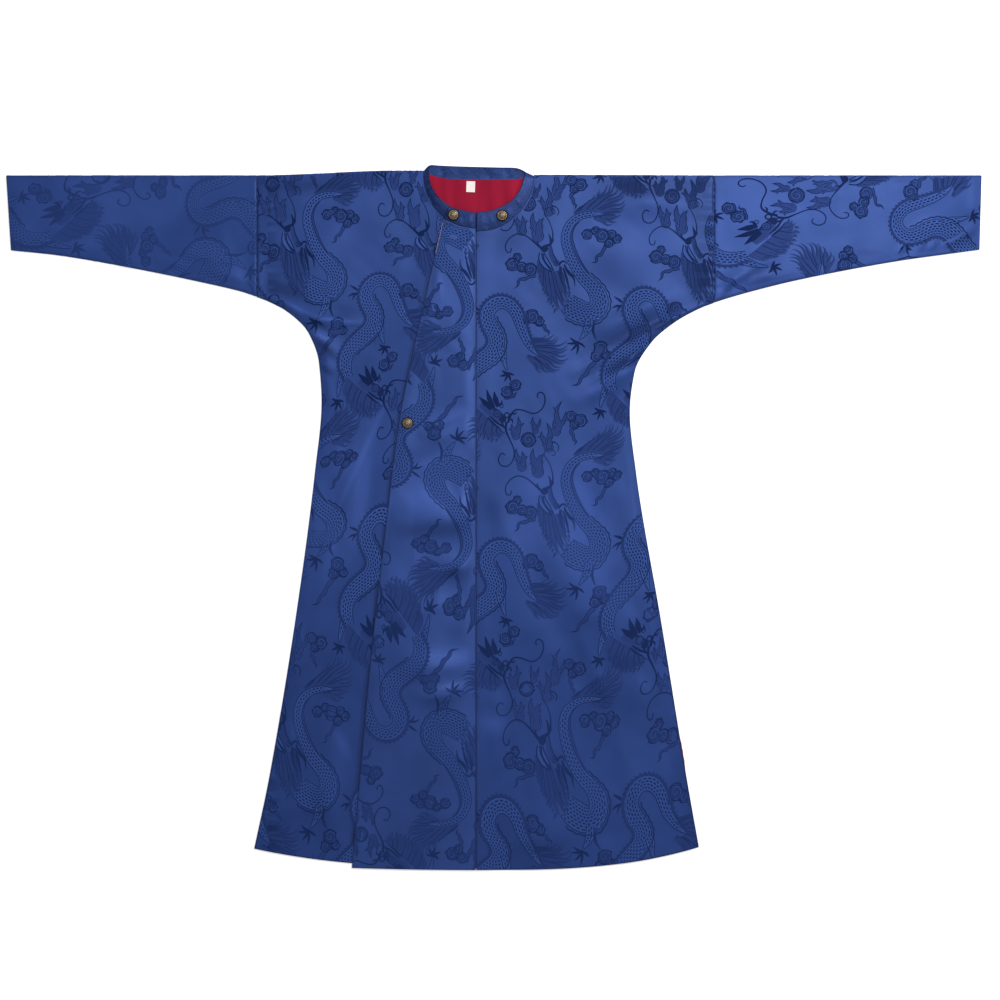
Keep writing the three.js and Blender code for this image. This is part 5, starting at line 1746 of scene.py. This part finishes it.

# %% [markdown]
# ## Satin ground
# Satin is a weave whose long floats all run one way, so it shines along them. Seen close, it is a fine twill
# of threads. Further off the colour drifts a little, where dye and pressing differ, and painted shade darkens
# it where cloth is turned in at an edge. The sleeves are cut across the grain, so they catch the light
# differently: each copy of the satin, the collar's too, is painted lighter or darker by its own light level,
# as painted light. The collar's figure is so small that it is only drawn as contours of a noise.

# %% Satin ground
def satin_ground(name, painted_light_level=1.0, grain=0.0, figured=0.0, gloss=0.55):
    gleam = {"Specular_IOR_Level": gloss, "Specular_Tint": BLUE_GLEAM}
    finish = Finish(name, Roughness=0.4, Anisotropic=0.3, **gleam)
    turned = finish.moved(finish.place, Rotation=(0, 0, grain))
    drift = finish.noise(turned, 4.2, 3.0)
    patch = finish.noise(turned, 13.0, 2.0, 0.6)
    slub = finish.noise(finish.moved(turned, Scale=(900, 60, 60)), 1.0)
    spread = finish.ramp(finish.plus(finish.times(drift, 0.62), finish.times(patch, 0.38)), 0.36, 0.70)
    ground = finish.blend(
        spread, colour(0.0150, 0.0370, 0.146, painted_light_level), colour(0.0238, 0.0530, 0.206, painted_light_level))
    thread = finish.times(finish.minus(slub, 0.42), 0.35)
    ground = finish.blend(thread, ground, colour(0.032, 0.066, 0.225, painted_light_level))
    if figured:
        clouds = finish.noise(finish.place, 46.0, 0.0, 2.2)
        contour = finish.math("FRACT", finish.times(clouds, 5.0))
        contour = finish.ramp(finish.size_of(finish.minus(contour, 0.5)), 0.2, 0.06)
        ground = finish.blend(finish.times(contour, figured), ground, colour(0.0015, 0.005, 0.028))
        inner = finish.math("GREATER_THAN", clouds, 0.52)
        ground = finish.blend(finish.times(inner, 0.3), ground, colour(0.004, 0.012, 0.055))
    # Painted shade: the cloth goes darker along its doubled edges.
    edge = finish.carried("EdgeShade")
    ground = finish.blend(finish.times(edge, 0.85), ground, colour(0.008, 0.012, 0.05))
    ground = with_painted_sheen(finish, ground, painted_light_level)
    relief = finish.plus(finish.wave(turned, 640.0, 0.6, "DIAGONAL", 1.0), finish.times(slub, 0.8))
    return finish.end(ground, relief, 0.12, finish.plus(0.33, finish.times(patch, 0.14)))


# Painted light: the overlap, the sleeves and the collar are lighter or darker copies of one satin.
satin_body = satin_ground("dark_blue_satin")
satin_overlap = satin_ground("dark_blue_satin_overlap", painted_light_level=1.06, grain=math.pi, gloss=0.95)
satin_sleeve_left = satin_ground("dark_blue_satin_sleeve_left", painted_light_level=1.1, grain=math.pi / 2)
satin_sleeve_right = satin_ground("dark_blue_satin_sleeve_right", painted_light_level=1.08, grain=math.pi / 2)
satin_collar = satin_ground("dark_blue_satin_collar", painted_light_level=0.76, grain=0.6, figured=0.95)
print("satin ready")

# %% [markdown]
# ## Lining, label and brass
# The lining is a smooth crimson taffeta. It mirrors nearly nothing but red, and a noise that is drawn out
# along the neck paints lighter and darker upright bands on it, the painted light and shade of the folds in
# which it hangs.

# %% Crimson lining
def crimson_lining():
    finish = Finish("crimson_lining", Roughness=0.55, Specular_IOR_Level=0.4,
                    Specular_Tint=colour(1.0, 0.08, 0.16))
    # Painted light and shade of the hanging folds: upright bands of lighter and darker red.
    folds = finish.ramp(finish.noise(finish.moved(finish.place, Scale=(34, 5, 5)), 1.0), 0.35, 0.68)
    red = finish.blend(folds, colour(0.20, 0.0062, 0.023), colour(0.31, 0.0097, 0.0345))
    return finish.end(red, finish.wave(finish.place, 520.0, 0.5), 0.10)


lining_red = crimson_lining()
print(lining_red.name)

# %% [markdown]
# The label is a bleached tape. Wave bands give its fine rib, since modelled threads wouldn't be seen.

# %% White woven tape
def woven_tape():
    finish = Finish("white_woven_tape", Roughness=0.8, Specular_IOR_Level=0.2)
    soft = finish.noise(finish.place, 160.0)
    cream = finish.blend(soft, colour(0.82, 0.72, 0.68), colour(0.95, 0.90, 0.87))
    return finish.end(cream, finish.wave(finish.place, 420.0, 0.3, "Y"), 0.3)


tape_white = woven_tape()
print(tape_white.name)

# %% [markdown]
# The buttons are brass that has been darkened in its hollows and rubbed bright on its high places. How
# far a point stands out of the mesh tells the two apart, so the wear follows the relief by itself.

# %% Antiqued brass
def antiqued_brass():
    finish = Finish("antiqued_brass", Metallic=0.85, Roughness=0.4)
    high = finish.ramp(finish.add("NewGeometry").outputs["Pointiness"], 0.47, 0.54)
    stain = finish.noise(finish.place, 420.0, 4.0)
    bright = finish.times(high, finish.plus(stain, 0.35))
    metal = finish.blend(bright, colour(0.024, 0.016, 0.008), colour(0.50, 0.38, 0.25))
    return finish.end(metal, stain, 0.2, finish.minus(0.62, finish.times(bright, 0.3)))


brass = antiqued_brass()
print(brass.name)

# %% [markdown]
# ## Figure
# The figure's threads are the same dye as the ground, but matt, so it looks darker. Its outlines are
# woven densest and are nearly navy. The graph reads each stroke's own map and makes one way of weaving
# for each kind of stroke. On a dragon's body it draws rows of short dark dashes with pale rims, each
# row set off against the next by half a dash. Clouds and flames get a dark outline and a fine middle
# line, a curl winds a pale spiral on a dusky ground inside its rim, and a strand of hair is dark along
# one side only. All lengths are the tailor's millimetres.

# %% Ways of weaving each kind of stroke
DASH, DASH_ROW = 7.4, 4.6  # length and height of a scale
SPIRAL = 7.4  # room between two turns of a curl


def scales(finish, along, off, inset, rim, line):
    across = finish.math("DIVIDE", off, DASH_ROW)
    half_step = finish.times(finish.math("FLOOR", across), 0.5)
    u = finish.math("FRACT", finish.plus(finish.math("DIVIDE", along, DASH), half_step))
    u = finish.math("DIVIDE", finish.size_of(finish.minus(u, 0.5)), 0.34)
    v = finish.minus(finish.math("FRACT", across), 0.5)
    v = finish.math("DIVIDE", finish.size_of(v), 0.29)
    dash = finish.ramp(finish.math("MAXIMUM", u, v), 1.2, 0.75)
    body = finish.blend(dash, rim, line)
    body = finish.blend(finish.ramp(inset, 3.0, 2.3), body, rim)
    return finish.blend(finish.ramp(inset, 1.7, 1.1), body, line)


def strand(finish, off, width, fill, shadow, line):
    leaning = finish.math("DIVIDE", off, finish.math("MAXIMUM", width, 0.3))
    hair = finish.blend(finish.ramp(leaning, 0.3, 0.85), shadow, line)
    return finish.blend(finish.ramp(leaning, -0.45, -0.8), hair, fill)


def spiral(finish, along, off, width, shadow, line, gap):
    away = finish.math("SQRT", finish.plus(finish.times(along, along), finish.times(off, off)))
    around = finish.math("DIVIDE", finish.math("ARCTAN2", off, along), 2 * math.pi)
    wound = finish.math("FRACT", finish.plus(finish.math("DIVIDE", away, SPIRAL), around))
    wound = finish.size_of(finish.minus(wound, 0.5))
    curled = finish.blend(finish.ramp(wound, 0.12, 0.17), shadow, line)
    curled = finish.blend(finish.ramp(wound, 0.31, 0.36), curled, gap)
    return finish.blend(finish.ramp(finish.minus(width, away), 2.6, 1.8), curled, line)


print("a scale is", DASH, "by", DASH_ROW, "mm")

# %% [markdown]
# Plain strokes take their tone from the table instead: 0 is the fill and 1 the dark line. Towards the hem the
# figure is painted paler, as painted light, because the cloth there lies flatter and shines more evenly.

# %% Woven figure
def woven_figure(name, contrast, painted_light_level=1.0):
    finish = Finish(name, Roughness=0.58, Specular_IOR_Level=0.22, Specular_Tint=BLUE_GLEAM)
    width = finish.carried("Tone")  # the half width, or the tone on plain strokes
    along, off, kind = finish.add("SeparateXYZ", {"Vector": finish.carried("OwnMap", "Vector")}).outputs

    def shade(red, green, blue):
        ground = (0.0215, 0.0485, 0.186)
        return colour(*(mix(g, f, contrast) * painted_light_level for g, f in zip(ground, (red, green, blue))))

    fill, line = shade(0.0212, 0.0425, 0.166), shade(0.0034, 0.0118, 0.058)
    rim, shadow = shade(0.0385, 0.0820, 0.288), shade(0.0178, 0.0375, 0.146)
    width_off = finish.size_of(off)
    inset = finish.minus(width, width_off)
    edge = finish.ramp(inset, 2.5, 1.8)
    middle = finish.times(finish.ramp(width_off, 0.8, 0.3), finish.ramp(width, 2.6, 3.4))
    edged = finish.blend(finish.math("MAXIMUM", edge, finish.times(middle, 0.3)), fill, line)
    edged = finish.blend(finish.ramp(inset, 0.75, 0.45), edged, rim)
    ways = {
        SCALED: scales(finish, along, off, inset, rim, line),
        EDGED: edged,
        HAIR: strand(finish, off, width, fill, shadow, line),
        CURL: spiral(finish, along, off, width, shadow, line, shade(0.0285, 0.0600, 0.222)),
        PALE: finish.blend(edge, rim, line),
    }
    painted = finish.blend(width, fill, line)
    for number, way in ways.items():
        painted = finish.blend(finish.math("COMPARE", kind, float(number)), painted, way)
    uneven = finish.ramp(finish.noise(finish.place, 620.0, 1.0), 0.35, 0.75, 0.25)
    painted = finish.blend(uneven, painted, fill)
    up = finish.add("SeparateXYZ", {"Vector": finish.place}).outputs[1]
    # Painted light: the figure fades towards the ground colour lower down.
    painted_hem_fade = finish.ramp(up, MIDDLE_Y - 0.62, MIDDLE_Y - 1.05, 0.3)
    painted = finish.blend(painted_hem_fade, painted, shade(0.0196, 0.0440, 0.172))
    # The matt figure takes the painted shade in full and less of the painted sheen.
    painted = with_painted_sheen(finish, painted, 0.9 * painted_light_level, 0.45)
    return finish.end(painted, finish.wave(finish.place, 520.0, 0.8), 0.15)


# Painted light: the copies of the figure are lighter, darker or fainter panel by panel.
figure_body = woven_figure("woven_figure", 1.1)
figure_overlap = woven_figure("woven_figure_overlap", 0.9)
figure_sleeve_left = woven_figure("woven_figure_sleeve_left", 1.15, 1.1)
figure_sleeve_right = woven_figure("woven_figure_sleeve_right", 0.5)
print("figure finishes ready")

# %% [markdown]
# ## Thread for stitches
# Sewing thread is polyester with a soft shine. The front seam is sewn in a blue a little paler than the satin
# and the sleeves in a darker one. An almost black navy cord winds round the buttons, where it stands in for
# their shadow, white tacks the label and raw beige shows where the edge has frayed.

# %% Sewing thread
def sewing_thread(name, *shade):
    finish = Finish(name, Roughness=0.55, Specular_IOR_Level=0.35)
    twist = finish.wave(finish.place, 700.0, 1.0, "DIAGONAL")
    return finish.end(finish.blend(twist, colour(*shade, 0.7), colour(*shade)))


thread_blue = sewing_thread("blue_sewing_thread", 0.085, 0.115, 0.300)
thread_dark = sewing_thread("dark_blue_sewing_thread", 0.016, 0.030, 0.110)
# Near-black thread for the ring that stands in for the buttons' shadow.
shadow_navy = sewing_thread("painted_shadow_navy", 0.0012, 0.0016, 0.006)
thread_beige = sewing_thread("raw_beige_thread", 0.52, 0.40, 0.32)
thread_white = sewing_thread("white_sewing_thread", 0.86, 0.80, 0.78)
print("threads ready")

# %% [markdown]
# ## Rows of stitches and beads
# A sewing machine sets one stitch after another at an even pitch, and a roller presses the beads on a
# button's rim in the same way. So each row is one line and one small unit. The tree cuts the line into
# equal steps, sets the unit on every step along the line and lets its length and its lean vary a
# little. The fixed seed keeps the variation the same each time.

# %% Repeat a small unit along a line
def row_tree():
    tree = bpy.data.node_groups.new("row_along_a_line", "GeometryNodeTree")
    sockets = tree.interface.new_socket
    sockets("Line", in_out="INPUT", socket_type="NodeSocketGeometry")
    for label in ("Spacing", "Unit Length", "Thickness", "Lean", "Unevenness"):
        sockets(label, in_out="INPUT", socket_type="NodeSocketFloat")
    sockets("Seed", in_out="INPUT", socket_type="NodeSocketInt")
    sockets("Finish", in_out="INPUT", socket_type="NodeSocketMaterial")
    sockets("Row", in_out="OUTPUT", socket_type="NodeSocketGeometry")

    def step(kind, links=None, **settings):
        made = tree.nodes.new(kind)
        for key, value in settings.items():
            setattr(made, key, value)
        for socket, source in (links or {}).items():
            if hasattr(source, "is_linked"):
                tree.links.new(source, made.inputs[socket])
            else:
                made.inputs[socket].default_value = source
        return made

    given = step("NodeGroupInput").outputs
    curve = step("GeometryNodeMeshToCurve", {"Mesh": given["Line"]}).outputs[0]
    steps = step(
        "GeometryNodeResampleCurve", {"Curve": curve, "Length": given["Spacing"]}, mode="LENGTH").outputs[0]
    unit = step("GeometryNodeMeshUVSphere", {"Segments": 6, "Rings": 4, "Radius": 0.5}).outputs[0]
    tangent = step("GeometryNodeInputTangent").outputs[0]
    facing = step("FunctionNodeAlignRotationToVector", {"Vector": tangent}, axis="X").outputs[0]
    other_way = step("ShaderNodeMath", {0: given["Lean"], 1: -1.0}, operation="MULTIPLY").outputs[0]
    lean = step("FunctionNodeRandomValue", {2: other_way, 3: given["Lean"], "Seed": given["Seed"]}).outputs[1]
    spin = step("ShaderNodeCombineXYZ", {"Z": lean}).outputs[0]
    turned = step("FunctionNodeRotateRotation", {0: facing, 1: spin}, rotation_space="LOCAL").outputs[0]
    shortest = step("ShaderNodeMath", {0: 1.0, 1: given["Unevenness"]}, operation="SUBTRACT").outputs[0]
    share = step("FunctionNodeRandomValue", {2: shortest, 3: 1.0, "Seed": given["Seed"]}).outputs[1]
    length = step("ShaderNodeMath", {0: given["Unit Length"], 1: share}, operation="MULTIPLY").outputs[0]
    thick = given["Thickness"]
    size = step("ShaderNodeCombineXYZ", {"X": length, "Y": thick, "Z": thick}).outputs[0]
    placed = step("GeometryNodeInstanceOnPoints",
                  {"Points": steps, "Instance": unit, "Rotation": turned, "Scale": size}).outputs[0]
    real = step("GeometryNodeRealizeInstances", {"Geometry": placed}).outputs[0]
    dressed = step("GeometryNodeSetMaterial", {"Geometry": real, "Material": given["Finish"]}).outputs[0]
    tree.links.new(dressed, step("NodeGroupOutput").inputs["Row"])
    return tree


ROW_TREE = row_tree()


print("the tree has", len(ROW_TREE.nodes), "nodes")

# %% [markdown]
# The tree works on a line that is drawn for each row. Its result is turned into a plain mesh at once,
# and the line is taken away, so that what is left is only thread or metal.

# %% Turn a row into a plain mesh
def row_of(name, line, finish, spacing, length, thickness, lean, unevenness, seed, closed=False):
    """Set the unit along a line of points. All sizes are in the tailor's millimetres."""
    edges = [(i, i + 1) for i in range(len(line) - 1)] + ([(len(line) - 1, 0)] if closed else [])
    path = bpy.data.meshes.new(name + "_line")
    path.from_pydata(to_scene(line).tolist(), edges, [])
    carrier = linked(name + "_line", path)
    modifier = carrier.modifiers.new("row", "NODES")
    modifier.node_group = ROW_TREE
    chosen = {
        "Spacing": spacing / 1000, "Unit Length": length / 1000, "Thickness": thickness / 1000,
        "Lean": lean, "Unevenness": unevenness, "Seed": seed, "Finish": finish,
    }
    for socket in ROW_TREE.interface.items_tree:
        if socket.name in chosen:
            modifier[socket.identifier] = chosen[socket.name]
    evaluated = carrier.evaluated_get(bpy.context.evaluated_depsgraph_get())
    mesh = bpy.data.meshes.new_from_object(evaluated)
    mesh.name = name
    bpy.data.objects.remove(carrier)
    print(name, "has", len(mesh.polygons), "faces")
    return linked(name, mesh)


print("ready to sew")

# %% [markdown]
# ## Where the rows run
# Fine stitches show as pale dots along the centre-front seam and the two sleeve seams. The label is
# tacked down by one row at each end. Each line takes its height from the cloth that it is sewn to.

# %% Lines that the rows follow
def front_seam_line(out=1.5):
    down = np.linspace(112, LENGTH - 6, 300)
    y = row_y(LEFT, down, out)
    return together(out, y, front_height(LEFT, down, out, y) + FACE + 0.1)


def sleeve_stitch_line(half):
    y = np.linspace(sleeve_top(half, half.seam_out) - 6, 8 - half.seam_drop, 80)
    out = half.seam_out - 1.6
    return together(half.sign * out, y, front_height(half, down_at(half, out, y), out, y) + FACE + 0.1)


def round_line(x, y, z, radius, count=48):
    angle = np.linspace(0, 2 * np.pi, count, endpoint=False)
    return together(x + radius * np.cos(angle), y + radius * np.sin(angle), z)


def label_line(up):
    return together(*on_label(np.linspace(0.07, 0.93, 12), up), LABEL_Z + 0.42)


def frayed_line():
    down = np.linspace(88, 146, 30)
    return together(-overlap_edge(down) + 0.3, -down, OVER_Z + FACE + 0.2)


print("the front seam is sewn over", round(float(np.ptp(front_seam_line()[:, 1])) / 10), "cm")

# %% [markdown]
# Beads ring every button's rim, and a twisted navy cord, almost black, is wound round its foot: a dark ring
# that stands in for the button's shadow. Just below the collar a few cut warp ends have worked loose from the
# overlap's edge. They are the same row with a larger lean, so they point every way.

# %% Sew the rows: name, line, thread, spacing, length, thickness, lean, unevenness, seed, slot
ROWS = [
    ("stitches_front_seam", front_seam_line(), thread_blue, 3.4, 2.0, 0.7, 0.08, 0.5, 3, "satin"),
    ("stitches_sleeve_left", sleeve_stitch_line(LEFT), thread_dark, 3.1, 2.1, 0.45, 0.1, 0.3, 5, "satin"),
    ("stitches_sleeve_right", sleeve_stitch_line(RIGHT), thread_dark, 3.1, 2.1, 0.45, 0.1, 0.3, 5, "satin"),
    ("stitches_label_top", label_line(0.955), thread_white, 1.7, 1.2, 0.3, 0.1, 0.2, 2, "label"),
    ("stitches_label_foot", label_line(0.045), thread_white, 1.7, 1.2, 0.3, 0.1, 0.2, 4, "label"),
    ("frayed_warp_ends", frayed_line(), thread_beige, 0.8, 3.4, 0.42, 0.7, 0.6, 11, "satin"),
]
rows = [(row_of(*row), slot) for *row, slot in ROWS]
for name, x, y, z, _ in BUTTONS:
    part = name.removeprefix("button_")
    beads = row_of(f"beads_{part}", round_line(x, y, z + 3.1, 8.2), brass,
                   1.2, 0.95, 0.95, 0.0, 0.05, 1, True)
    # A near-black ring round the button's foot, a painted shadow.
    button_shadow = row_of(f"cord_{part}", round_line(x, y, z + 0.8, 10.1), shadow_navy,
                  1.5, 2.4, 2.6, 0.35, 0.1, 1, True)
    rows += [(beads, "button"), (button_shadow, "button")]
print(len(rows), "rows")

# %% [markdown]
# ## Dress the robe
# Each piece gets its finish, rides on the robe's one body and stands for its solid. The woven figure, the
# allowances and the rows stand for no solid: they are extra.

# %% Give every piece its finish and its place
def dress(piece, finish, slot, *nodes):
    if finish is not None:
        piece.data.materials.clear()
        piece.data.materials.append(finish)
    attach(piece, "root")
    if nodes:
        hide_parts(*nodes)


dress(body_left, satin_body, "satin", "body_left")
dress(body_right, satin_body, "satin", "body_right")
dress(overlap, satin_overlap, "satin", "front_overlap")
dress(sleeve_left, satin_sleeve_left, "satin", "sleeve_left")
dress(sleeve_right, satin_sleeve_right, "satin", "sleeve_right")
dress(collar, satin_collar, "satin", "collar_band")
dress(collar_over, satin_collar, "satin", "collar_overlap")
dress(lining_neck, lining_red, "lining", "lining_neck")
dress(lining_vent, lining_red, "lining", "lining_vent")
dress(label, tape_white, "label", "neck_label")
for piece in (front_allowance, *sleeve_allowances):
    dress(piece, satin_body, "satin")
for piece, (solid, *_) in zip(buttons, BUTTONS):
    dress(piece, brass, "button", solid)
for row, slot in rows:
    dress(row, None, slot)
OWN_FIGURE = {"sleeve_left": figure_sleeve_left, "sleeve_right": figure_sleeve_right,
              "overlap": figure_overlap}
for part, piece in woven.items():
    dress(piece, OWN_FIGURE.get(part.removesuffix("_back"), figure_body), "satin")
print("dressed", 16 + len(rows) + len(woven), "pieces")

# %% [markdown]

print("the robe is ready")

# %% [markdown]
# ## Table, light and camera
# The robe lies on a plain white table that glows faintly, as a lit paper sweep does.

# %% White table
def white_table(far=6.0, below=-0.0004):
    mesh = bpy.data.meshes.new("table_top")
    corners = [(-far, -far, below), (far, -far, below), (far, far, below), (-far, far, below)]
    mesh.from_pydata(corners, [], [(0, 1, 2, 3)])
    table = linked("floor", mesh)
    white = Finish("white_table", Roughness=0.9, Specular_IOR_Level=0.1, Emission_Strength=0.42,
                   Base_Color=colour(0.93, 0.93, 0.93), Emission_Color=colour(1.0, 1.0, 1.0))
    mesh.materials.append(white.material)
    return table


table = white_table()
print(table.name)

# %% [markdown]
# A soft lamp above the wearer's left shoulder models the folds, a low one behind it catches the
# creases, and an even white surround fills the shadows.

# %% Soft studio light
def soft_lamp(name, place, aim, size, power):
    lamp = bpy.data.lights.new(name, "AREA")
    lamp.shape = "DISK"
    lamp.size = size
    lamp.energy = power
    thing = linked(name, lamp)
    thing.location = place
    thing.rotation_euler = (Vector(aim) - Vector(place)).to_track_quat("-Z", "Y").to_euler()
    return thing


key = soft_lamp("key_lamp", (0.85, 1.2, 3.1), (0.1, 0.2, 0), 0.6, 56)
fill = soft_lamp("low_lamp", (2.4, 2.8, 1.1), (0, 0, 0), 0.7, 78)
world = bpy.data.worlds.new("even_white")
bpy.context.scene.world = world
world.use_nodes = True
surround = world.node_tree.nodes["Background"].inputs
surround["Color"].default_value = colour(1.0, 1.0, 1.0)
surround["Strength"].default_value = 0.40
print("lamps:", key.name, fill.name)

# %% [markdown]
# The camera hangs straight above, with a long lens, so that no part of the robe is drawn larger than
# another.

# %% Camera and colour
VIEW_CENTRE = (44.9, -607.8)  # middle of the view, in the tailor's millimetres
VIEW_WIDTH = 1.870  # metres across the view
eye = to_scene([*VIEW_CENTRE, 5.0])
camera_data = bpy.data.cameras.new("camera")
camera_data.lens = 85
camera_data.sensor_width = 36
height = VIEW_WIDTH * camera_data.lens / camera_data.sensor_width
camera = linked("camera", camera_data)
camera.location = (eye[0], eye[1], eye[2] + height)
bpy.context.scene.camera = camera
bpy.context.scene.view_settings.view_transform = "Standard"
print("the camera hangs", round(height, 3), "m above the robe")
